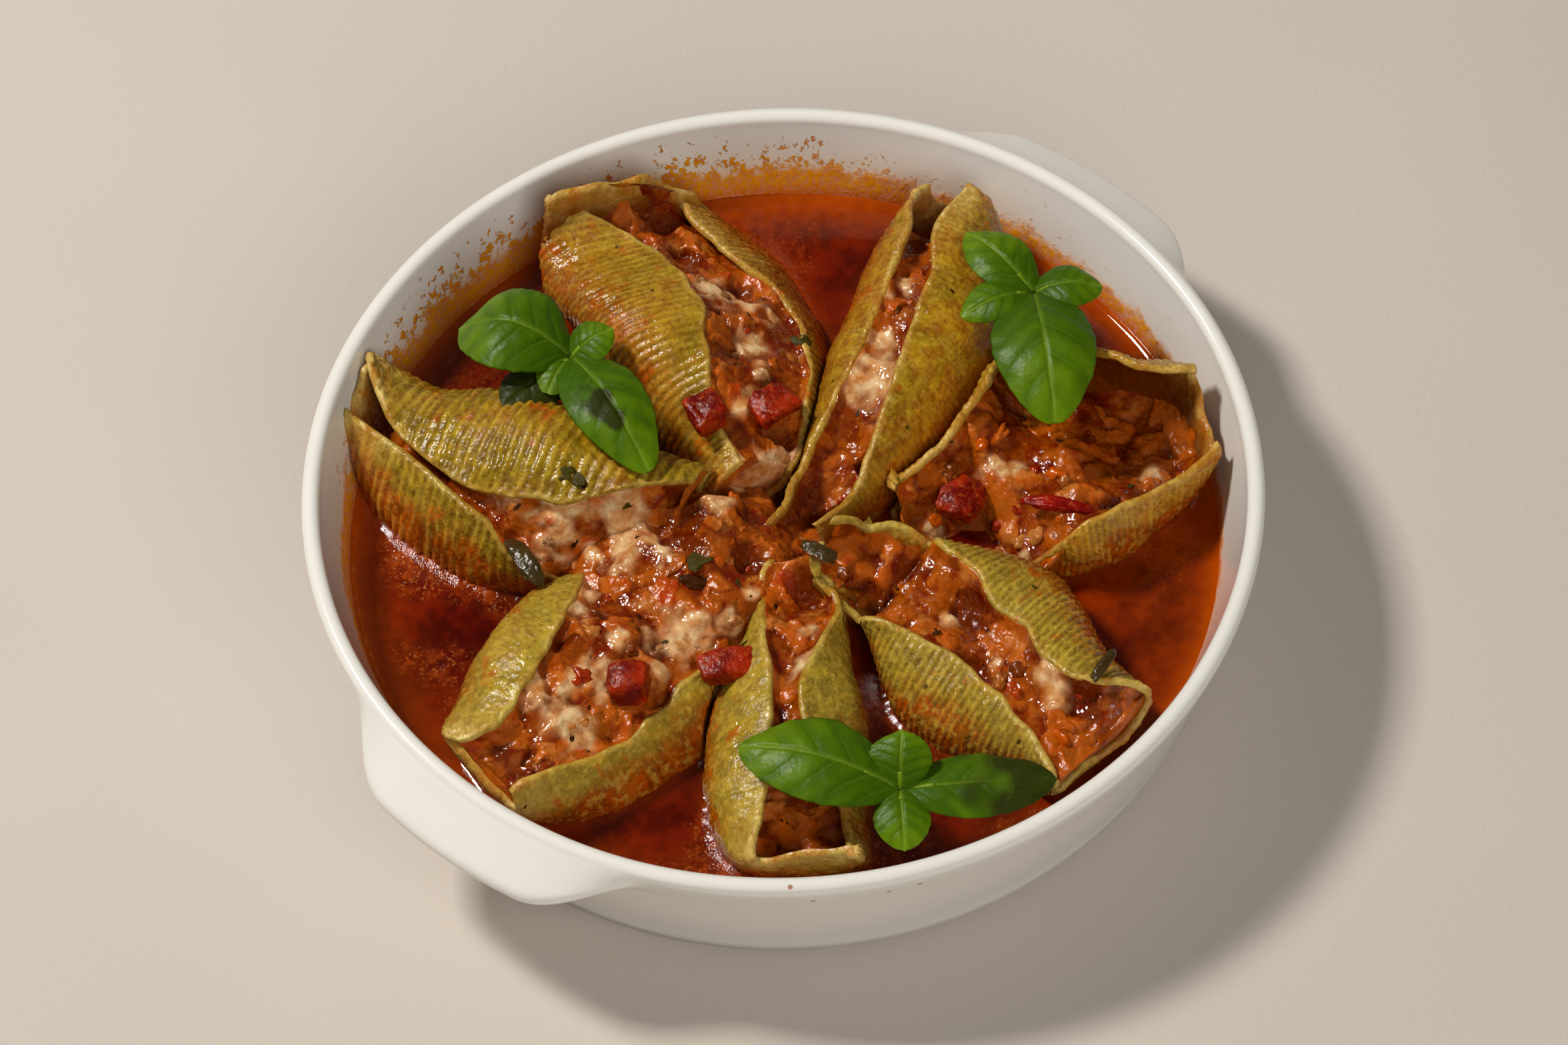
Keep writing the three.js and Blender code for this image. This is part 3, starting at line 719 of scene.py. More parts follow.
def lay_out(curl, seed):
    """Where each point of a sheet is along it and round it, with ragged lips and ends."""
    across = np.linspace(-1, 1, COLUMNS)
    spot = np.sign(across) * (1 - (1 - np.abs(across)) ** 1.5)
    run = np.linspace(0, 1, int(curl.length / ROW_STEP))[:, None] + 0 * spot
    ragged = np.stack([run * 9 + 40 * seed, np.sign(spot) * 5 + 0 * run, 0 * run], axis=-1)
    open_by = along(curl.shell["gap"], share_at(run))
    spot = spot * (1 - RAGGED * (1 + drift(ragged, 1.0)) * fade(open_by, 0, 9))
    torn = np.stack([np.sign(run - 0.5) * 9, spot * 3, 0 * run + 20 * seed], axis=-1)
    run = 0.5 + (run - 0.5) * (1 - TORN * (1 + drift(torn, 1.0)) - 0.04 * spot**2)
    return run, spot


def leaned(middle, above):
    """The same sheet, pushed clear of the shells above it."""
    for blur in (6, 1, 1):
        for other in above:
            push = Curl(other).push_out(middle, PASTA / 2 + CLEARANCE)
            middle = middle + blurred(push, blur)
    return middle


def curl_sheet(shell, above, seed):
    """The middle, outer and inner face of a shell's sheet, and numbers for its finish."""
    curl = Curl(shell)
    run, spot = lay_out(curl, seed)
    share = share_at(run)
    outer = curl.surface(run, spot)
    girth, length = run_of(outer, 1), run_of(outer, 0)
    lip = np.minimum(girth, girth[:, -1:] - girth)
    end = np.minimum(length, length[-1:] - length)
    edge = np.minimum(lip, end)
    dry_start, dry_end = shell["crisp"]
    tips = fade(share, 0.25, 0.0) * dry_start + fade(share, 0.66, 0.96) * dry_end
    wave = 0.9 * drift(outer, 17, seed) + 0.35 * drift(outer, 6, seed + 1)
    wave += shell["lip"] * np.exp(-edge / 4) * drift(outer, 6.5, seed + 2)
    wave += (0.5 + 1.3 * tips) * np.exp(-lip / 3) * (1 + drift(outer, 9, seed + 8))
    middle = outer + outwards_of(outer, outer) * (wave - PASTA / 2 - 0.4)[..., None]
    middle = leaned(middle, above)
    outwards = outwards_of(middle, blurred(middle, 1))
    crisp = np.clip(tips * fade(edge, 12, 1) + 0.45 * fade(edge, 2.2, 0.4), 0, 1)
    phase = run * curl.length / shell["pitch"] + 0.35 * drift(outer, 12, seed + 3)
    ridge = (0.5 + 0.5 * np.cos(2 * np.pi * phase)) ** 0.8
    patch = fade(drift(outer, 20, seed + 4), -0.9, 0.3)
    strength = np.clip(shell["ribs"] * (0.55 + 0.45 * patch), 0, 1.2)
    ribbed = strength * fade(edge, 0.2, 1.6) * (1 - 0.5 * tips) * fade(end, 0, 4)
    blister, _ = pebbles(outer, 2.4, seed)
    rough = 0.16 * drift(outer, 1.3, seed) + 0.09 * drift(outer, 0.7, seed + 5)
    bumps = RIB_HEIGHT * ribbed * (ridge - 0.6) + BLISTER_HEIGHT * crisp * (blister - 0.5) + rough
    thick = PASTA * (1 + 0.12 * drift(outer, 9, seed + 6))
    bevel = 1 - np.clip(edge / (thick / 2), 0, 1)
    half = thick / 2 * np.sqrt(np.clip(1 - bevel**2, 0, 1))
    front = middle + outwards * (half + bumps * fade(edge, 0, 0.5))[..., None]
    inner_bumps = 0.25 * bumps + 0.2 * drift(outer, 2.4, seed + 7)
    back = middle - outwards * (half - inner_bumps * fade(edge, 0, 0.5))[..., None]
    looks = dict(ridge=ridge, ribbed=ribbed, lip=lip, edge=edge, crisp=crisp, spot=spot)
    looks.update(along=run * curl.length + 100 * seed, across=girth)
    return dict(middle=middle, front=front, back=back, looks=looks)


sheets = {}
for order, (name, shell) in enumerate(SHELLS.items()):
    sheets[name] = curl_sheet(shell, list(SHELLS.values())[:order], order + 1)
print("the sheets' rows:", [sheet["middle"].shape[0] for sheet in sheets.values()])

# %% [markdown]
# Spinach pasta is olive, and baking takes it in several directions at once. It stays
# green where sauce kept it damp, turns gold where oil lay on it, dries pale and toasted
# at the lips, and drinks up orange-brown sauce low down. The brown on each side of a shell
# is partly that stain and partly painted shade on its darker side. The inside darkens
# with depth, partly from soaked-in sauce and partly as painted shade in the hollow. The
# grooves get painted shade, and a wet shine lies over everything but the dry lips. Each
# of those is a number stored on the points, worked out with the shape, and the shader
# only has to paint by numbers.

# %% The pasta's finish
def pasta():
    finish = Finish("pasta", shine=0.38, soft=(0.12, (1.0, 0.6, 0.15), 1.5))
    olive, brown, crisp, groove = finish.numbers("olive", "brown", "crisp", "groove")
    inner, wet, pale, ribbed = finish.numbers("inner", "wet", "pale", "ribbed")
    along_it, across_it = finish.numbers("along", "across")
    sheet_axes = {0: along_it, 1: across_it * 0.3, 2: across_it * 0.1}
    streak = finish.noise(2.6, 4, 0.65, finish.node("ShaderNodeCombineXYZ", {}, sheet_axes))
    broad, fine, grain = finish.noise(13, 3), finish.noise(3.2, 4, 0.65), finish.noise(0.8, 3, 0.6)
    smear = finish.noise(6, 4, 0.6)
    gold = finish.mix(fine.fade(0.3, 0.7), (148, 80, 3), (200, 138, 24))
    green = finish.mix(fine.fade(0.35, 0.7), (106, 84, 5), (172, 140, 32))
    greenness = (olive + 1.5 * (broad - 0.5) + 0.7 * (fine - 0.5)).fade(0.1, 0.9)
    brown_stain_and_shade = finish.mix(fine.fade(0.3, 0.7), (116, 48, 1), (166, 80, 4))
    # Brown over the gold: stain, soaked-in sauce and, on one side of each shell, painted shade.
    brown_and_shade_cover = (brown + 0.9 * (broad - 0.5) + 0.7 * (fine - 0.5)).fade(0.15, 0.85)
    rusty = (smear + 0.2 * (grain - 0.5) + 0.12 * brown).fade(0.6, 0.72)
    # The inside darkens with depth, partly from soaked-in sauce and partly as painted shade in the hollow.
    soaked_and_shaded = finish.mix(fine, (78, 26, 1), (124, 62, 4))
    lining = finish.mix((inner * 1.4 - 0.5).fade(0, 1), (146, 76, 8), soaked_and_shaded)
    scaly = streak.fade(0.47, 0.62) * (1 - groove) * (1 - inner) * ribbed
    dry = finish.mix(fine.fade(0.3, 0.7), (184, 144, 54), (226, 200, 122))
    toast = (broad + 0.8 * (smear - 0.5)).fade(0.42, 0.6)
    # Painted shade in the grooves between the ribs, and darker grain specks that are the pasta's own.
    groove_shade_and_specks = (groove * (0.2 + 0.6 * streak) + (0.46 - grain).fade(0.0, 0.12) * 0.35).least(1.0)
    bright = (finish.noise(1.7, 2) - 0.5).fade(-0.02, 0.16) * (1 - inner) * (0.12 + 0.34 * pale)
    char = finish.spots(5.5).fade(0.14, 0.06) * finish.noise(9, 2).fade(0.58, 0.66)
    colour = finish.layers(
        gold,
        (greenness, green),
        (pale * 0.32, (190, 166, 70)),
        (brown_and_shade_cover, brown_stain_and_shade),
        (rusty * 0.8, (178, 76, 6)),
        (inner, lining),
        (scaly * 0.45, (208, 170, 66)),
        ((crisp * (0.6 + 0.8 * fine)).least(1.0) * 0.8, finish.mix(toast * 0.7, dry, (182, 104, 22))),
        (groove_shade_and_specks * (1 - crisp * 0.6) * 0.9, (92, 50, 1)),
        (bright, (200, 168, 68)),
        (char * 0.85, (48, 28, 12)),
    )
    gloss = wet * (broad + 0.6 * (fine - 0.5)).fade(0.36, 0.6)
    roughness = 0.36 - 0.22 * gloss + 0.1 * (grain - 0.5)
    relief = finish.bump(finish.noise(1.3, 1) + 0.4 * grain + 0.5 * streak, 0.3)
    return finish.wear(Base_Color=colour, Roughness=roughness, Normal=relief)


pasta_finish = pasta()
print("the pasta's finish has", len(pasta_finish.node_tree.nodes), "nodes")

# %% Make the shells
for name, sheet in sheets.items():
    looks, shell, middle = sheet["looks"], SHELLS[name], sheet["middle"]
    nothing = 0 * middle[..., 2]
    low = fade(middle[..., 2] + 3 * drift(middle, 7, 4), SAUCE_LEVEL + 16, SAUCE_LEVEL + 1)
    # The brown on each side stands partly for stain and partly for painted shade on that side.
    left_brown_and_shade, right_brown_and_shade = shell["brown"]
    side, flank = fade(looks["spot"], -0.3, 0.3), np.abs(looks["spot"])
    sides_brown_and_shade = side * left_brown_and_shade + (1 - side) * right_brown_and_shade
    stored = {
        "olive": shell["olive"] + 0.25 * flank,
        "brown": sides_brown_and_shade * fade(flank, 1.0, 0.6) + 0.85 * low,
        "crisp": looks["crisp"],
        "pale": shell["pale"] + nothing,
        "wet": 1 - 0.8 * looks["crisp"],
        "ribbed": looks["ribbed"],
        "along": looks["along"] * MM,
        "across": looks["across"] * MM,
    }
    numbers = {key: both_sides(values, values) for key, values in stored.items()}
    # Where the grooves lie, for the painted shade between the ribs.
    numbers["groove"] = both_sides(looks["ribbed"] * (1 - looks["ridge"]), nothing)
    # The number grows deeper inside, away from the lips, for soaked sauce and painted shade.
    inner_face = 0.5 * fade(looks["lip"], 0.4, 2) + 0.5 * fade(looks["edge"], 2, 7)
    numbers["inner"] = both_sides(nothing, inner_face)
    skin = sandwich(sheet["front"], sheet["back"])
    make_piece(name.replace("shell", "pasta_shell"), skin, pasta_finish, numbers, "pasta", name)

# %% [markdown]
# ## The filling
# Each shell holds a loose filling of mince, diced vegetables and sauce under melted
# cheese. A separate mesh for every crumb would be wasteful, so the filling is a body
# with the coarse lumps pressed into its top, and loose crumbs come later. Its underside
# lies inside the pasta, which leaves no gap between the two. The cheese is a film over
# some of the lumps: there the surface is filled up, smoother and paler.

# %% Where the cheese has melted
# Middle of each patch (x, y) and its radius.
CHEESE = [
    (-34, 33, 9), (-30, 16, 9), (36, 3, 9), (-72, -2, 8), (-40, -5, 8), (33, 46, 7), (-31, -33, 6),
    (9, 8, 6), (-61, 2, 7), (-71, 8, 6), (27, 30, 5), (-27, 22, 5), (0, -71, 5), (-37, 44, 4),
    (-10, 10, 5), (-23, 22, 5), (37, -28, 4), (-42, 22, 4), (-35, 24, 4), (-50, 15, 4), (19, -32, 4),
    (59, 14, 4), (58, -54, 4), (-67, 4, 3), (24, 25, 3), (-23, -25, 3), (-4, -75, 4), (-31, -11, 4),
    (-49, -7, 3), (20, -25, 3), (-44, 17, 3), (16, 21, 3), (-50, 3, 3), (40, -31, 3), (-1, -45, 3),
    (36, 38, 3), (12, 21, 2.5), (38, 33, 2.5), (22, 23, 2.5), (-42, -16, 2.5), (25, -44, 2.5),
    (35, 32, 2), (-23, -10, 2.5), (0, 13, 2.5), (-4, -60, 3), (54, 14, 3), (30, 5, 4), (44, 8, 4),
]


def cheese_at(points):
    """How thick the melted cheese lies at each point, from 0 to 1."""
    film = np.full(points.shape[:-1], -1.0)
    for x, y, radius in CHEESE:
        away = np.linalg.norm(points[..., :2] - np.array([x, y]), axis=-1)
        film = np.maximum(film, 1 - away / radius)
    web = 1 - 3 * np.abs(drift(points, 6.5, 21) + 0.35 * drift(points, 2.6, 22))
    return fade(1.5 * film + 0.4 * web + 0.4 * drift(points, 3.5, 23), 0.25, 1.25)


def wander(points, size, seed):
    """Drift in three directions at once."""
    return np.stack([drift(points, size, seed + k) for k in range(3)], axis=-1)


def mince_relief(points, seed):
    """The height of lumps on a filling's top, and the numbers for its finish."""
    bend = 1.6 * wander(points, 4.2, seed) + 0.45 * wander(points, 1.5, seed + 3)
    chunk, label = pebbles(points + bend, 6.2, seed)
    bit, bit_label = pebbles(points + bend, 3.0, seed + 1)
    film = cheese_at(points)
    tall = fade(label, 0.15, 0.95)
    lump = (0.4 + 1.4 * tall) * chunk + 0.7 * fade(bit_label, 0.3, 1) * bit - 0.7
    sauce_between = 0.35 * drift(points, 2.4, seed + 2)
    dry = fade(lump - sauce_between, -0.25, 0.55)
    swell = 1.8 * drift(points, 9, seed + 5) + 0.7 * drift(points, 4.5, seed + 6)
    meaty = 0.22 * drift(points, 1.6, seed + 3) + 0.06 * drift(points, 0.8, seed + 4)
    hole, hole_label = pebbles(points, 7.5, seed + 6)
    pit = np.where(hole_label > 0.82, hole**2, 0) * (1 - film)
    lumps_there = sauce_between + dry * (lump - sauce_between + meaty)
    veil = 0.8 + 0.5 * drift(points, 4.5, seed + 7) + 0.12 * drift(points, 1.7, seed + 8)
    height = swell + lumps_there * (1 - 0.8 * film) + 0.8 * film * veil - 1.5 - 2.6 * pit
    # Low places between the lumps, and the pits, get painted shade.
    low = np.clip(0.5 - 0.6 * lump, 0, 1) * (1 - film) * (1 - 0.5 * dry)
    numbers = dict(cheese=film, crumb=0.65 * label + 0.35 * bit_label)
    numbers.update(pit=np.clip(low + pit, 0, 1), dry=dry * (1 - film))
    return height, numbers


print("cheese has melted in", len(CHEESE), "patches")

# %% The filling's finish
def filling_finish():
    finish = Finish("filling", shine=0.5, soft=(0.12, (1.0, 0.5, 0.2), 1.8))
    cheese, crumb, pit, dry = finish.numbers("cheese", "crumb", "pit", "dry")
    broad, middle, fine = finish.noise(8, 3), finish.noise(3.4, 4, 0.6), finish.noise(0.9, 4, 0.65)
    saucy = (broad + 0.5 * (middle - 0.5)).fade(0.38, 0.6)
    lumpwise = crumb + 0.5 * (middle - 0.5)
    lumps_of = finish.layers(
        (96, 42, 8),
        (lumpwise.fade(0.1, 0.6), (164, 88, 26)),
        (lumpwise.fade(0.4, 0.85), (184, 86, 18)),
        (lumpwise.fade(0.84, 0.96) * 0.7, (160, 32, 4)),
    )
    cream = (broad - 0.45 * (middle - 0.5)).fade(0.45, 0.34)
    thickness = (cheese * (0.25 + 1.2 * middle)).least(1.0)
    colour = finish.layers(
        finish.mix(saucy, (146, 46, 1), (196, 96, 14)),
        (dry * 0.85, lumps_of),
        (cream * 0.45, (212, 134, 60)),
        # Painted shade in the hollows between lumps, in the pits and low on the nuggets.
        ((pit * 1.1).least(1.0) * 0.85, (84, 20, 1)),
        ((fine - 0.6).fade(0.0, 0.08) * 0.3, (220, 146, 62)),
        ((0.36 - fine).fade(0.0, 0.08) * 0.5, (70, 22, 2)),
        (thickness * 0.78, finish.mix(middle.fade(0.3, 0.7), (210, 154, 84), (238, 216, 166))),
    )
    relief = finish.bump(finish.noise(1.4, 1) + 0.3 * fine * dry, 0.35)
    return finish.wear(Base_Color=colour, Roughness=0.1 + 0.1 * dry + 0.06 * fine, Normal=relief)


filled = filling_finish()
print("the filling's finish has", len(filled.node_tree.nodes), "nodes")

# %% Fill the shells
FILLING_STEP = 0.55  # distance between a filling's points across the shell
END_ROWS = 2  # rows of the pasta past each end of its filling
TUCKED = 0.985  # how near to a lip a full side comes


def sampled(grid, columns):
    """Each row of a grid of points, read at its own fractional columns."""
    low = np.clip(np.floor(columns).astype(int), 0, grid.shape[1] - 2)
    part = (columns - low)[..., None]
    rows = np.arange(grid.shape[0])[:, None]
    return grid[rows, low] * (1 - part) + grid[rows, low + 1] * part


def fill_shell(name, seed):
    """The filling's top and underside, and the numbers for its finish."""
    sheet, shell = sheets[name], SHELLS[name]
    rows = sheet["middle"].shape[0]
    keep = slice(END_ROWS, rows - END_ROWS)
    middle, spots = sheet["middle"][keep], sheet["looks"]["spot"][keep]
    share = share_at(np.linspace(0, 1, rows))[keep]
    full = TUCKED * along(shell["reach"], share)
    far_full = TUCKED * along(shell.get("far_reach", shell["reach"]), share)
    order = np.arange(COLUMNS)
    right = np.array([np.interp(-reach, row, order) for reach, row in zip(full, spots)])[:, None]
    left = np.array([np.interp(reach, row, order) for reach, row in zip(far_full, spots)])[:, None]
    right_edge, left_edge, keel = (sampled(middle, line)[:, 0] for line in (right, left, (right + left) / 2))
    gap = np.linalg.norm(left_edge - right_edge, axis=1)
    count = int(max(gap.max(), 14) / FILLING_STEP)
    across = np.linspace(0, 1, count)[None, :, None]
    upwards = (left_edge + right_edge) / 2 - keel
    inside = np.linalg.norm(upwards, axis=1)
    upwards = unit(upwards * np.sign(upwards[:, 2:]) + [0, 0, 3])
    crown = np.maximum(along(shell["fill"], share), -0.35 * inside)
    bulge = (crown[:, None, None] * 4 * across * (1 - across)) * upwards[:, None]
    top = left_edge[:, None] * (1 - across) + right_edge[:, None] * across + bulge
    over_lip = unit((right_edge - left_edge) * [1, 1, 0]) + [0, 0, -0.25]
    spill = along(shell.get("spill", (0, 0)), share)
    top = top + spill[:, None, None] * across**2 * over_lip[:, None]
    relief, numbers = mince_relief(top, seed)
    border = np.minimum(across[..., 0], 1 - across[..., 0]) * gap[:, None]
    ends = np.minimum(np.arange(len(top)), np.arange(len(top))[::-1])[:, None] * ROW_STEP
    held = fade(np.minimum(border, ends), 0, 1.6)
    top = top + (relief * held)[..., None] * unit(upwards[:, None] + [0, 0, 0.6])
    under = sampled(middle, left + (right - left) * np.linspace(0, 1, count))
    return top, under, numbers


tops = {}
for seed, name in enumerate(SHELLS, start=30):
    top, under, numbers = fill_shell(name, seed)
    numbers = {key: both_sides(values, 0 * values) for key, values in numbers.items()}
    mince, filling = (name.replace("shell", word) for word in ("mince", "filling"))
    make_piece(mince, sandwich(top, under), filled, numbers, "filling", filling)
    tops[name] = top

# %% [markdown]
# Some filling has spilled over in the middle, where the shells meet. It is a low dome
# with the same lumps and the same cheese, so it runs on from the fillings beside it.

# %% The heap in the middle
HEAP_MIDDLE = np.array([-25, 6, 20])
HEAP_RADII = np.array([30, 27, 18])
UNDER_SAUCE = 2  # how far below the sauce the heap's lowest point is
rise = np.radians(np.linspace(0, 86, 90))
dome = round_z(turns(300), np.cos(rise), np.sin(rise))
heap_top = HEAP_MIDDLE + dome * HEAP_RADII
relief, numbers = mince_relief(heap_top, 44)
heap_top = heap_top + relief[..., None] * unit(dome / HEAP_RADII)
heap = capped(heap_top, [*HEAP_MIDDLE[:2], SAUCE_LEVEL - UNDER_SAUCE], heap_top[:, -1].mean(axis=0))
numbers = {key: np.append(values, [0, values[:, -1].mean()]) for key, values in numbers.items()}
make_piece("mince_heap", heap, filled, numbers, "filling", "filling_heap")
tops["heap"] = heap_top

# %% [markdown]
# ## The sauce
# The shells stand in a thin tomato sauce with oil on it. Its surface isn't flat: it
# creeps up the pasta and the wall in a small meniscus, which is what catches the light
# in bright curved lines, and it is grainy where bits of vegetable have settled. A mesh
# of rings fine enough to hold the meniscus does that. The distance to the nearest pasta
# comes from a search tree of the shells' points near the sauce's level.

# %% Pour the sauce
CREEP = 0.9  # how high the sauce creeps up the pasta
WALL_CREEP = 1.3  # how high it creeps up the wall
IN_WALL = 0.45  # how far its edge reaches into the wall
WIDE_UNTIL = 6  # how far from its edge the widely spaced rings end
CLOSE_FROM = 5.6  # how far from it the closely spaced ones begin
SUNK = 0.3  # how far the sauce's sides and floor reach into the dish
SAUCE_FLOOR = FLOOR - SUNK
# The sauce's underside and sides, as (radius, height), from the middle outwards.
SAUCE_UNDER = [(40, SAUCE_FLOOR), (84, SAUCE_FLOOR), (inner_radius(9), 9), (inner_radius(14) + SUNK, 14)]

shell_skin = np.concatenate([sheet["front"].reshape(-1, 3) for sheet in sheets.values()])
near_level = shell_skin[np.abs(shell_skin[:, 2] - SAUCE_LEVEL) < 1.2]
tree = KDTree(len(near_level))
for number, (x, y, _) in enumerate(near_level):
    tree.insert((x, y, 0), number)
tree.balance()

edge_radius = inner_radius(SAUCE_LEVEL) + IN_WALL
wide_rings = np.linspace(4, edge_radius - WIDE_UNTIL, 138)
close_rings = np.linspace(edge_radius - CLOSE_FROM, edge_radius, 18)
rings = np.concatenate([wide_rings, close_rings])
directions = turns(420)
pool = round_z(directions, rings, SAUCE_LEVEL)
to_pasta = np.array([tree.find((x, y, 0))[2] for x, y, _ in pool.reshape(-1, 3)])
to_pasta = to_pasta.reshape(pool.shape[:2])
to_wall = edge_radius - rings + 0 * directions
settled = fade(drift(pool, 17, 61) + 0.25 * drift(pool, 5, 62), -0.2, 0.5) * fade(to_wall, 3, 9)
settled = settled * (0.3 + 0.7 * fade(-pool[..., 0], 10, 40))
bits, bit_label = pebbles(pool, 1.9, 63)
swell = 0.05 * drift(pool, 14, 64) + 0.02 * drift(pool, 4, 65)
climb = CREEP * np.exp(-to_pasta / 0.7) + WALL_CREEP * np.exp(-to_wall / 1.2)
pool[..., 2] += swell + climb + settled * (0.12 * bits - 0.05)
under_pool = round_z(directions, *np.array(SAUCE_UNDER).T)
whole_pool = np.concatenate([under_pool, pool[:, ::-1]], axis=1)


def pool_numbers(values):
    """Numbers for the whole body of sauce from those of its surface."""
    hidden = np.zeros(under_pool.shape[:2])
    return np.append(np.concatenate([hidden, values[:, ::-1]], axis=1), [0, values[:, 0].mean()])


print(f"the sauce is {2 * edge_radius:.0f} across and stands at {SAUCE_LEVEL:.1f}")

# %% The sauce's finish
THIN_SIDE = (0.66, -0.75)  # the direction, in x and y, in which the sauce gets thinner


def sauce_finish():
    finish = Finish("tomato_sauce", shine=0.4)
    settled, bit, shore = finish.numbers("settled", "bit", "shore")
    broad, fine, grain = finish.noise(16, 3), finish.noise(3.0, 4, 0.6), finish.noise(0.8, 3)
    bright = (broad + 0.5 * (fine - 0.5)).fade(0.35, 0.65)
    to_thin_side = finish.axis("x") * THIN_SIDE[0] + finish.axis("y") * THIN_SIDE[1]
    shallow = (to_thin_side + 110 * (broad - 0.5)).fade(35, 110) * 0.5
    oily = (shore * (0.7 + 0.6 * broad)).most(shallow).least(1.0)
    bits = finish.mix(bit.fade(0.2, 0.8), (98, 26, 4), (156, 66, 16))
    colour = finish.layers(
        finish.mix(bright, (66, 10, 1), (106, 24, 1)),
        (oily, finish.mix(fine, (152, 52, 2), (188, 84, 6))),
        (settled * fine.fade(0.35, 0.6) * 0.7, bits),
        ((grain - 0.56).fade(0.0, 0.1) * settled * 0.5, (206, 120, 56)),
    )
    relief = finish.bump(settled * grain + fine * 0.04, 0.2)
    return finish.wear(Base_Color=colour, Roughness=0.05 + 0.04 * settled * fine, Normal=relief)


shore = np.maximum(np.exp(-to_wall / 5), 0.35 * np.exp(-to_pasta / 2.5))
numbers = dict(settled=pool_numbers(settled), bit=pool_numbers(bit_label), shore=pool_numbers(shore))
pool_body = capped(whole_pool, [0, 0, SAUCE_FLOOR], whole_pool[:, -1].mean(axis=0))
make_piece("tomato_sauce", pool_body, sauce_finish(), numbers, "sauce", "sauce")

# %% [markdown]
# ## Loose crumbs, dice and flakes
# The relief gives the filling its bulk. What makes it look like food is the layer of
# loose things on top: nuggets of mince, small dice of tomato, carrot and onion, and
# scraps of herb and char. Each kind is one joined mesh. A lump is a bent and squared
# ball, and many of them are made at once by adding a random turn, size and place to the
# same ball, which NumPy does in a moment.

# %% Find the surface
SKY = 80  # a height over all the food
COVERED = 1.2  # pasta this far over a place hides it


def surface_tree(grids):
    """A search tree over every second point of several grids."""
    points, faces, count = [], [], 0
    for grid in grids:
        grid = grid[::2, ::2]
        index = np.arange(grid.shape[0] * grid.shape[1]).reshape(grid.shape[:2]) + count
        points.append(grid.reshape(-1, 3))
        faces.append(quads(index))
        count += points[-1].shape[0]
    return BVHTree.FromPolygons(np.concatenate(points).tolist(), np.concatenate(faces).tolist())


sheet_fronts = [sheet["front"] for sheet in sheets.values()]
food_tree = surface_tree([*tops.values(), *sheet_fronts, pool])
open_mince = [grid[9:-9, 6:-6] for grid in tops.values()]
draw = np.random.default_rng(11)


def drop(points):
    """The same points let fall onto the food, and which way it faces there."""
    landed, faces_to = [], []
    for x, y in points[:, :2]:
        place, normal, _, _ = food_tree.ray_cast(Vector((x, y, SKY)), Vector((0, 0, -1)))
        landed.append(place if place else (x, y, SAUCE_LEVEL))
        faces_to.append(normal if normal else (0, 0, 1))
    faces_to = np.array(faces_to)
    return np.array(landed), faces_to * np.sign(faces_to[:, 2:] + 1e-6)


def spread(grids, count):
    """Random places on some grids, fairly shared by their area."""
    areas = []
    for grid in grids:
        cross = np.cross(np.diff(grid, axis=0)[:, :-1], np.diff(grid, axis=1)[:-1])
        areas.append(np.linalg.norm(cross, axis=-1).ravel())
    places = np.concatenate([grid[:-1, :-1].reshape(-1, 3) for grid in grids])
    weight = np.concatenate(areas)
    return places[draw.choice(len(weight), size=count, p=weight / weight.sum())]


def on_mince(tries, most):
    """Random places on the fillings that no pasta hangs over, this many at most."""
    places = spread(open_mince, tries)
    landed, _ = drop(places)
    return places[np.abs(landed[:, 2] - places[:, 2]) < COVERED][:most, :2]


print("loose pieces can lie on", len(open_mince), "fillings and on", len(sheet_fronts), "shells")

# %% Lumps
def ball(fineness):
    """The points and triangles of a round ball of radius 1."""
    shape = bmesh.new()
    bmesh.ops.create_icosphere(shape, subdivisions=fineness, radius=1)
    points = np.array([v.co for v in shape.verts])
    faces = np.array([[v.index for v in face.verts] for face in shape.faces])
    shape.free()
    return points, faces


def random_turns(count):
    """Rotations in every direction, as matrices."""
    w, x, y, z = unit(draw.normal(size=(count, 4))).T
    rows = [
        [1 - 2 * (y * y + z * z), 2 * (x * y - z * w), 2 * (x * z + y * w)],
        [2 * (x * y + z * w), 1 - 2 * (x * x + z * z), 2 * (y * z - x * w)],
        [2 * (x * z - y * w), 2 * (y * z + x * w), 1 - 2 * (x * x + y * y)],
    ]
    return np.moveaxis(np.array(rows), -1, 0)


def lay_flat(turned, normals, share):
    """Turns lumps so that their flat side lies along the surface, by a share of the way."""
    axis = unit(turned[:, :, 2] * (1 - share) + normals * share)
    first = unit(turned[:, :, 0] - np.sum(turned[:, :, 0] * axis, axis=1, keepdims=True) * axis)
    return np.stack([first, np.cross(axis, first), axis], axis=-1)


def lumps(places, normals, sizes, squareness, roughness, fineness, flat):
    """Many uneven lumps, with sizes as three radii each, as one body of points."""
    points, faces = ball(fineness)
    count = len(places)
    squared = np.sign(points) * np.abs(points) ** squareness
    body = np.repeat(squared[None], count, axis=0)
    own = draw.uniform(0, 99, size=(count, 1, 3))
    swell = 1 + roughness * drift(points + own, 0.9) + 0.4 * roughness * drift(points + own, 0.35)
    turned = lay_flat(random_turns(count), normals, flat)
    body = np.einsum("nij,nkj->nki", turned, body * swell[..., None] * sizes[:, None, :])
    body = body + places[:, None, :]
    shifted = faces[None] + (np.arange(count) * len(points))[:, None, None]
    return body.reshape(-1, 3), shifted.reshape(-1, 3).tolist()


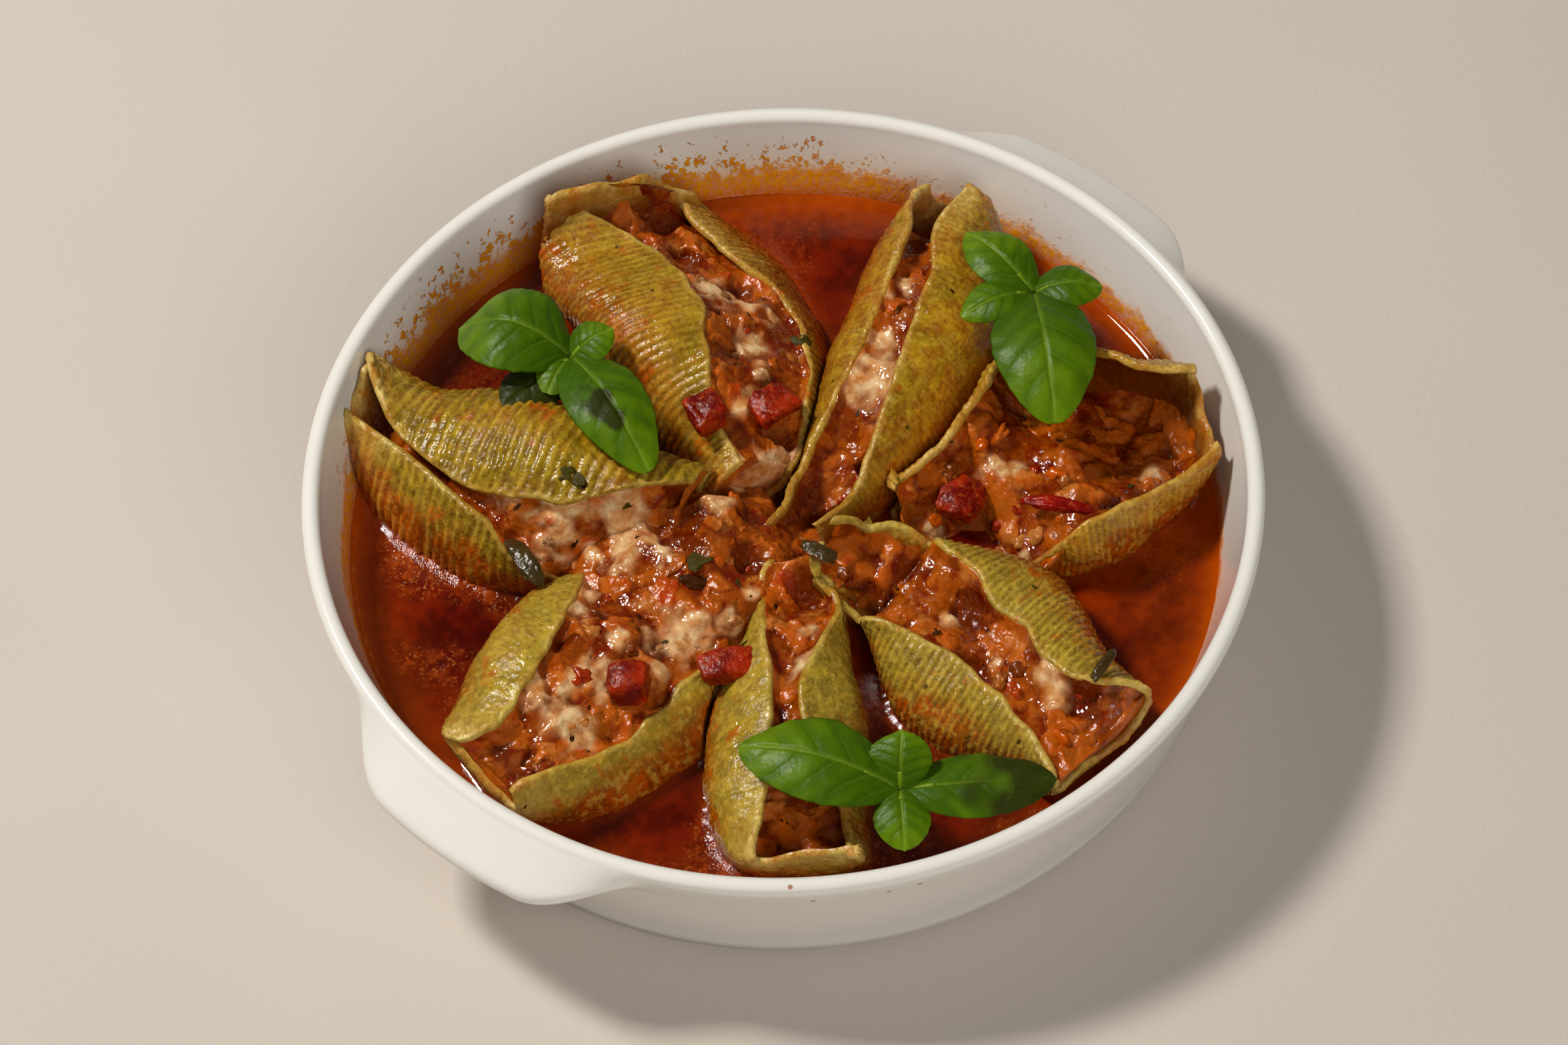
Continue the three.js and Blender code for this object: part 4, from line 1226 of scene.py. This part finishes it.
def scatter(places, radii, stretch, sunk, thinned=0, known=(), **lump):
    """Lumps of one kind on the food, with each point's own lump's number and height.

    Their radii are random, smaller where cheese covers them, or known for the last ones.
    """
    landed, facings = drop(places)
    count = len(landed)
    radius = draw.uniform(*radii, size=(count, 1)) * (1 - thinned * cheese_at(landed))[:, None]
    radius[count - len(known) :, 0] = known
    sizes = radius * draw.uniform(*stretch, size=(count, 3))
    points, faces = lumps(landed - facings * radius * sunk, facings, sizes, **lump)
    each = len(points) // count
    return (points, faces), np.repeat(draw.uniform(0, 1, count), each), np.repeat(landed[:, 2], each)


print("a lump of fineness 3 has", len(ball(3)[0]), "points")

# %% Nuggets of mince
looks = dict(squareness=0.9, roughness=0.45, fineness=4, flat=0.5)
nuggets, chance, base_height = scatter(on_mince(132, 44), (1.0, 2.7), (0.65, 1.35), 0.7, 0.4, **looks)
numbers = {
    "crumb": chance,
    "cheese": 0.5 * cheese_at(nuggets[0]),
    # Painted shade on the low part of each nugget, where it sits in the filling.
    "pit": np.clip(0.35 - (nuggets[0][:, 2] - base_height) / 3, 0, 1),
    "dry": np.ones(len(nuggets[0])),
}
make_piece("mince_nuggets", nuggets, filled, numbers, "filling")


# %% Dice of tomato, carrot and onion
def dice_finish():
    finish = Finish("diced_vegetables", shine=0.6, soft=(0.3, (1.0, 0.3, 0.1), 1.5))
    kind, fine = finish.number("kind"), finish.noise(1.6, 3)
    tomato = finish.mix(fine.fade(0.3, 0.7), (118, 22, 4), (172, 58, 10))
    carrot, onion = (190, 84, 10), (186, 116, 54)
    colour = finish.layers(tomato, (kind.fade(0.35, 0.4), carrot), (kind.fade(0.78, 0.8), onion))
    return finish.wear(Base_Color=colour, Roughness=0.12 + 0.14 * fine, Normal=finish.bump(fine, 0.15))


# Where some of the dice lie (x, y); the others fall anywhere on the fillings.
RED_BITS = [
    (28, -41), (-41, 27), (29, -34), (-52, 9), (34, -37), (42, -35), (34, -47),
    (12, -7), (-17, -4), (18, -6),
]
places = np.concatenate([on_mince(60, 20), RED_BITS])
looks = dict(squareness=0.8, roughness=0.55, fineness=3, flat=0.6)
diced, chance, _ = scatter(places, (0.8, 2.0), (0.65, 1.3), 0.5, **looks)
make_piece("diced_vegetables", diced, dice_finish(), {"kind": chance}, "tomato")


# %% Flakes of herb and char
def flake_finish():
    finish = Finish("herb_flakes", shine=0.15)
    fine = finish.noise(1.2, 3)
    colour = finish.mix(finish.number("kind").fade(0.4, 0.6), (62, 32, 10), (66, 58, 20))
    return finish.wear(Base_Color=colour, Roughness=0.4 + 0.2 * fine, Normal=finish.bump(fine, 0.2))


# Where the larger scraps lie (x, y) and their radii.
SCRAPS = [
    (-28.6, 34.6, 1.6), (-28.1, 32.6, 1.9), (-27.9, 30.4, 1.3), (31.8, 34.3, 0.9), (36.6, 25.3, 1.6),
    (37.4, 23.6, 1.1), (-24.5, 2.5, 3.4), (-27.5, -0.5, 2.6), (-33.5, -14.5, 2.6),
]
scraps = np.array(SCRAPS)
flakes_on_mince = on_mince(150, 44)
flakes_on_pasta = spread([front[:, 20:-20] for front in sheet_fronts], 10)
places = np.concatenate([flakes_on_mince, flakes_on_pasta[:, :2], scraps[:, :2]])
looks = dict(squareness=0.9, roughness=0.8, fineness=4, flat=0.85)
stretch = ([0.6, 0.4, 0.1], [1.5, 0.9, 0.16])
flakes, chance, _ = scatter(places, (0.3, 0.9), stretch, 0, known=scraps[:, 2], **looks)
make_piece("herb_flakes", flakes, flake_finish(), {"kind": chance}, "filling")

# %% [markdown]
# ## Pieces of vegetable
# Some pieces are large enough to be seen one by one: soft red tomato, a strip of red
# pepper, and strips of aubergine with dark skin. Each is one lump of its own, finer and
# less even than the small dice, with flat cut faces and a wet skin.

# %% Tomato, pepper and aubergine
# The size of each (length, width and height), its turn in degrees, and how square it is:
# 1 is round, and less is squarer.
VEGETABLES = {
    "tomato_1": dict(size=(14.5, 12.5, 8.5), angle=35, square=0.5),
    "tomato_2": dict(size=(13, 12, 7.5), angle=70, square=0.6),
    "tomato_3": dict(size=(13, 11.5, 8), angle=-20, square=0.55),
    "tomato_4": dict(size=(17, 10.5, 7), angle=-40, square=0.55),
    "tomato_5": dict(size=(15.5, 12.5, 6.5), angle=10, square=0.6),
    "pepper_1": dict(size=(20, 4.2, 3.4), angle=-64, square=0.8),
    "aubergine_1": dict(size=(16, 6, 2.8), angle=68, square=0.7),
    "aubergine_2": dict(size=(12, 5, 2.4), angle=-85, square=0.7),
    "aubergine_3": dict(size=(12, 3.5, 2.4), angle=5, square=0.8),
}
CREASED = dict(tomato=0.6, pepper=0.8, aubergine=0.8)  # how deep the folds of each kind are
SHRUNK = 0.93  # the folded shape against the size given
ARCH = 0.16  # how much a piece arches, as a share of half its length


def cut_piece(name, size, angle, square, seed):
    """One piece with its flats and folds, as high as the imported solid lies, and its skin."""
    points, faces = ball(5)
    shape = np.sign(points) * np.abs(points) ** square
    shape = shape * (0.7 + 0.3 * square)
    place = points * 1.1 + 9.1 * seed
    folds = CREASED[name.split("_")[0]] * (np.abs(drift(place, 1.1)) + 0.35 * np.abs(drift(place, 0.5)))
    shape = shape * (0.92 + 0.24 * drift(place, 1.5) - 0.3 * folds + 0.02 * drift(place, 0.2))[:, None]
    half = np.array(size) / 2
    x, y, z = (shape * half * SHRUNK).T
    z = z + ARCH * half[0] * (0.5 - (x / half[0]) ** 2)
    x, y = tilted(x, y, -math.radians(angle))
    low, high = box_mm(name)
    shape = np.stack([x, y, z], axis=-1) + (low + high) / 2
    shape[:, 2] += high[2] - shape[:, 2].max()
    return (shape, faces.tolist()), {"skin": points[:, 2] * 0.7 + points[:, 1] * 0.7}


def tomato_finish(name, dark, bright):
    finish = Finish(name, shine=0.32, soft=(0.1, (1.0, 0.25, 0.1), 2))
    broad, fine = finish.noise(5, 3), finish.noise(1.1, 4)
    pulp = (fine.fade(0.5, 0.75) * 0.6, (176, 82, 26))
    colour = finish.layers(dark, (broad.fade(0.35, 0.65), bright), pulp)
    relief = finish.bump(finish.noise(1.5, 2) + 0.4 * fine, 0.35)
    return finish.wear(Base_Color=colour, Roughness=0.24 + 0.2 * fine, Normal=relief)


def aubergine_finish():
    finish = Finish("aubergine", shine=0.5)
    skin = finish.number("skin")
    broad, fine = finish.noise(4, 3), finish.noise(0.9, 4)
    flesh = finish.mix(fine, (96, 56, 22), (140, 88, 40))
    peel = finish.mix(broad, (32, 24, 10), (80, 64, 30))
    colour = finish.mix((skin + 0.9 * (broad - 0.5)).fade(-0.6, -0.2), flesh, peel)
    relief = finish.bump(finish.noise(1.6, 1) + 0.3 * fine, 0.5)
    return finish.wear(Base_Color=colour, Roughness=0.16 + 0.2 * fine, Normal=relief)


finishes = {
    "tomato": tomato_finish("tomato", (100, 14, 2), (160, 42, 10)),
    "pepper": tomato_finish("red_pepper", (108, 8, 4), (152, 16, 8)),
    "aubergine": aubergine_finish(),
}
for seed, (name, sizes) in enumerate(VEGETABLES.items(), start=3):
    kind = name.split("_")[0]
    shape, numbers = cut_piece(name, **sizes, seed=seed)
    make_piece(name + "_cut", shape, finishes[kind], numbers, kind, name)

# %% [markdown]
# ## Basil
# A basil leaf is a thin blade that bulges between its veins. Its outline, arch and cup
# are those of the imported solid; the midrib and the side veins are pressed into it here
# as grooves, and the blade swells between them. A sprig's leaves and stem share one
# mesh, because a sprig is one thing.

# %% Sizes of the leaves
# The middle of each sprig, and its leaves: where the tip is, the width, how high the leaf
# arches, how much of it has turned dark, and a bruise (how far along, how far across).
SPRIGS = {
    "basil_1": dict(
        middle=(-4.7, 53.6, 45),
        leaves=[
            dict(tip=(-13, 78, 43), wide=19, arch=8, dark=0.05),
            dict(tip=(-18, 21, 45), wide=14.5, arch=6, dark=0.1, bruise=(0.55, -0.25)),
            dict(tip=(4.5, 49, 48.5), wide=9, arch=2, dark=0),
            dict(tip=(-15.5, 51, 45), wide=8, arch=2, dark=0.1),
            dict(tip=(-23, 57, 44), wide=11, arch=0.5, dark=1),
        ],
    ),
    "basil_2": dict(
        middle=(70.4, -12.1, 42),
        leaves=[
            dict(tip=(74, 9, 42.5), wide=11, arch=3, dark=0),
            dict(tip=(80.5, -23, 42), wide=10, arch=3, dark=0),
            dict(tip=(55.5, -4, 42), wide=9, arch=3, dark=0.05),
            dict(tip=(45.5, -37, 42), wide=19, arch=7, dark=0.05),
        ],
    ),
    "basil_3": dict(
        middle=(-44.5, -66, 39),
        leaves=[
            dict(tip=(-57.5, -34.5, 40.5), wide=17, arch=5, dark=0.05),
            dict(tip=(-35.5, -59.5, 44), wide=11, arch=2, dark=0),
            dict(tip=(-22.5, -89.5, 38), wide=13, arch=1, dark=0.99),
            dict(tip=(-55, -75.5, 37), wide=10, arch=2, dark=0),
        ],
    ),
}
LEAF_THICKNESS = 0.5
LEAF_EDGE = 0.5  # width of the rounded edge
LEAF_ROWS, LEAF_COLUMNS = 110, 61
LEAF_WIDENING = 1.15  # the widest place against the width given
STALK = 0.35  # half the width that is left at both ends
SIDE_VEINS = 4.6  # how many there are on each side
RIB_WIDTH = 0.42
RIB_DEPTH = 0.45
TEETH = 0.03  # how uneven the outline is
NO_BRUISE = (9, 9)
print("the sprigs have", [len(sprig["leaves"]) for sprig in SPRIGS.values()], "leaves")


# %% Grow the sprigs
def leaf(middle, one, seed):
    """The two faces of a leaf, and numbers for its veins and colour."""
    start = np.array(middle, float)
    ahead = one["tip"] - start
    side = unit(np.array([-ahead[1], ahead[0], 0]))
    share = np.linspace(0.0, 1, LEAF_ROWS)[:, None]
    spot = np.linspace(-1, 1, LEAF_COLUMNS)[None, :]
    out = np.abs(spot)
    half = LEAF_WIDENING * one["wide"] / 2 * np.sin(np.pi * share**0.95) ** 0.6 + STALK
    tooth_place = np.stack(np.broadcast_arrays(share * 14, np.sign(spot), float(seed)), axis=-1)
    toothed = 1 + TEETH * drift(tooth_place, 1.0)
    blade = start + share[..., None] * ahead + (spot * half * toothed)[..., None] * side
    blade[..., 2] += one["arch"] * 4 * (share * (1 - share)) - 0.26 * half * out**2.4
    swept_back = 0.34 * out**1.2 * (1 - 0.5 * share)
    between = np.abs(np.sin(np.pi * ((share - swept_back) * SIDE_VEINS + 0.25 * np.sign(spot))))
    rib = np.exp(-(((spot * half) / RIB_WIDTH) ** 2))
    before_tip = fade(share, 1, 0.8)
    puff = (between**0.6 - 0.7) * (1 - out**3) * (1 - rib) * fade(share, 0.02, 0.2) * before_tip
    ripple = 0.7 * drift(blade, 9, seed) * out + 0.1 * drift(blade, 2.6, seed)
    up = facing(blade)
    up *= np.sign(up[..., 2:].mean())
    height = one["wide"] * 0.018 * puff - RIB_DEPTH * rib * before_tip + ripple - 0.25
    blade = blade + up * height[..., None]
    edge = np.minimum((1 - out) * half, np.minimum(share, 1 - share) * np.linalg.norm(ahead))
    back = blade - up * (LEAF_THICKNESS * np.sqrt(np.clip(edge / LEAF_EDGE, 0, 1)))[..., None]
    vein = np.maximum(rib, fade(between, 0.16, 0.0) * 0.6 * (1 - out**2))
    spread_dark = fade(share + 0.3 * drift(blade, 6, seed), 0.35, 0.75)
    dark = one["dark"] * spread_dark if one["dark"] < 1 else np.ones_like(edge)
    bruise_share, bruise_spot = one.get("bruise", NO_BRUISE)
    from_bruise = np.hypot((share - bruise_share) / 0.2, (spot - bruise_spot) / 0.4)
    dark = np.maximum(dark, fade(from_bruise + 0.5 * drift(blade, 4, seed), 1.1, 0.6))
    return blade, back, dict(vein=vein, dark=dark, tone=0.2 * between + 0.55 * share)


def basil_finish():
    finish = Finish("basil", shine=0.2, soft=(0.12, (0.4, 1.0, 0.15), 1.2))
    vein, dark, tone, under = finish.numbers("vein", "dark", "tone", "under")
    broad, fine = finish.noise(8, 3), finish.noise(1.0, 4)
    colour = finish.layers(
        (58, 88, 1),
        ((tone + 0.6 * (broad - 0.5)).fade(0.2, 0.9), (102, 132, 14)),
        (vein * 0.4, (128, 152, 46)),
        (under, (104, 128, 52)),
        ((dark * (0.75 + 0.6 * fine)).least(1.0) * 0.9, (40, 40, 16)),
    )
    relief = finish.bump(finish.spots(0.9) + fine * 0.6, 0.06)
    return finish.wear(Base_Color=colour, Roughness=0.34 + 0.14 * fine, Normal=relief)


STEM_SIDES, STEM_STEPS = 10, 9
STEM_RADII = (1.0, 0.45)  # where a stalk leaves the stem, and where it meets its leaf
STEM_FLATNESS = 0.45
STEM_LOOKS = dict(vein=0.8, dark=0, tone=0.8, under=0)


def stem(sprig):
    """The points and faces of a sprig's short stem and of the stalk of each leaf."""
    middle = np.array(sprig["middle"])
    lines = [middle + [(0, 0, -4), (0, 0, -1.2), (0, 0, 0)]]
    for one in sprig["leaves"]:
        begin = middle - [0, 0, 1.6]
        end = middle + 0.22 * (one["tip"] - middle) + [0, 0, one["arch"] * 0.6 - 0.3]
        lines.append([begin, (begin + end) / 2 + [0, 0, 0.2], end])
    paths = np.array([evenly(rounded(line), STEM_STEPS) for line in lines])
    ahead = unit(np.gradient(paths, axis=1))
    side = unit(np.cross(ahead, UP))
    over = STEM_FLATNESS * np.cross(side, ahead)
    turn = turns(STEM_SIDES)
    ring = np.cos(turn) * side[:, :, None] + np.sin(turn) * over[:, :, None]
    body = paths[:, :, None] + np.linspace(*STEM_RADII, STEM_STEPS)[None, :, None, None] * ring
    index = np.arange(body[..., 0].size).reshape(body.shape[:3])
    index = np.concatenate([index, index[..., :1]], axis=-1)
    faces = [face for one in index for face in quads(one).tolist()]
    faces += [one[end, :-1].tolist() for one in index for end in (0, -1)]
    return body.reshape(-1, 3), faces


def grow(sprig, seed):
    """The shape of all of a sprig's leaves and of its stem, and the numbers for its finish."""
    parts = []
    for k, one in enumerate(sprig["leaves"]):
        blade, back, looks = leaf(sprig["middle"], one, seed + k)
        numbers = {key: both_sides(values, values) for key, values in looks.items()}
        numbers["under"] = both_sides(0 * looks["vein"], 1 + 0 * looks["vein"])
        parts.append((*sandwich(blade, back), numbers))
    stem_points, stem_faces = stem(sprig)
    stem_numbers = {key: np.full(len(stem_points), float(value)) for key, value in STEM_LOOKS.items()}
    parts.append((stem_points, stem_faces, stem_numbers))
    faces, count = [], 0
    for points, part_faces, _ in parts:
        faces += [[corner + count for corner in face] for face in part_faces]
        count += len(points)
    numbers = {key: np.concatenate([part[2][key] for part in parts]) for key in STEM_LOOKS}
    return (np.concatenate([part[0] for part in parts]), faces), numbers


basil = basil_finish()
for seed, (name, sprig) in enumerate(SPRIGS.items(), start=2):
    shape, numbers = grow(sprig, seed * 9)
    make_piece(name + "_sprig", shape, basil, numbers, "basil", name)

# %% [markdown]
# ## The table, the light and the camera
# Food looks best in light that comes from behind and to one side, because the wet
# surfaces then shine towards the camera. A small softbox there does most of the work. A
# large one on the camera's side fills the shadows and isn't reflected, and a pale sky
# opens them a little more. The camera looks down at about fifty-five degrees, as someone
# about to serve would.

# %% Table and light
def table_finish():
    finish = Finish("table", shine=0.3)
    weave = finish.noise(1.4, 2)
    colour = finish.mix(finish.noise(120, 2), (196, 186, 176), (204, 195, 186))
    return finish.wear(Base_Color=colour, Roughness=0.75 + 0.1 * weave, Normal=finish.bump(weave, 0.1))


TABLE = 1.6  # half the side of the table top, in metres
table_mesh = bpy.data.meshes.new("table")
table_corners = [(-TABLE, -TABLE, 0), (TABLE, -TABLE, 0), (TABLE, TABLE, 0), (-TABLE, TABLE, 0)]
table_mesh.from_pydata(table_corners, [], [(0, 1, 2, 3)])
table_mesh.materials.append(table_finish())
table = bpy.data.objects.new("table", table_mesh)
bpy.context.scene.collection.objects.link(table)
table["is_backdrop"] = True

VIEW_TURN = math.radians(41)  # the direction in which the camera looks, seen from above
ahead_of_camera = np.array([math.cos(VIEW_TURN), math.sin(VIEW_TURN), 0])
right_of_camera = np.array([math.sin(VIEW_TURN), -math.cos(VIEW_TURN), 0])


def facing_matrix(place, target, up):
    """Where an object stands that looks along its own -Z at a target."""
    back = unit(place - target)
    right = unit(np.cross(up, back))
    true_up = np.cross(back, right)
    turn = Matrix([list(row) for row in np.stack([right, true_up, back], axis=1)])
    return Matrix.Translation(Vector(place)) @ turn.to_4x4()


def softbox(name, right, ahead, up, size, power, shines=True):
    """A square lamp placed to the camera's right, ahead and up, in metres."""
    lamp = bpy.data.lights.new(name, "AREA")
    lamp.size = size
    lamp.energy = power
    lamp.color = (1.0, 0.965, 0.91)
    stand = bpy.data.objects.new(name, lamp)
    bpy.context.scene.collection.objects.link(stand)
    place = right * right_of_camera + ahead * ahead_of_camera + up * UP
    stand.matrix_world = facing_matrix(place, np.zeros(3), ahead_of_camera)
    stand.visible_glossy = shines


softbox("key", -0.8, 0.4, 1.2, 0.24, 19)
softbox("fill", 0.5, -1.2, 1.1, 1.3, 15, shines=False)
print("lamps:", [lamp.name for lamp in bpy.data.lights])

sky = bpy.data.worlds.new("sky")
sky.use_nodes = True
sky.node_tree.nodes["Background"].inputs["Color"].default_value = (1.0, 0.98, 0.95, 1.0)
sky.node_tree.nodes["Background"].inputs["Strength"].default_value = 0.06
bpy.context.scene.world = sky
bpy.context.scene.view_settings.view_transform = "Standard"

# %% Camera
DISTANCE = 1.3795  # from the lens to the table at the middle of the view
LOOK_DOWN = math.radians(55.42)
ROLL = math.radians(-2.63)
ZOOM = 148
AIM = 0.002 * ahead_of_camera + 0.022 * UP  # the point that it looks at
STAND = -0.0072 * right_of_camera - 0.002 * ahead_of_camera  # where its own axis meets the table
look = math.cos(LOOK_DOWN) * ahead_of_camera - math.sin(LOOK_DOWN) * UP
level_up = np.cross(right_of_camera, look)
rolled_up = math.cos(ROLL) * level_up - math.sin(ROLL) * right_of_camera
lens = bpy.data.cameras.new("camera")
lens.lens = ZOOM
camera = bpy.data.objects.new("camera", lens)
bpy.context.scene.collection.objects.link(camera)
camera.matrix_world = facing_matrix(STAND - DISTANCE * look, AIM, rolled_up)
bpy.context.scene.camera = camera
print(f"the camera is {camera.matrix_world.translation.z:.2f} m over the table")

# %% Sizes, and finish
sizes = {"cad": [list(corner) for corner in cad_box], "visual": [list(corner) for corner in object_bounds()]}
print("the finished model's box:", sizes["visual"])
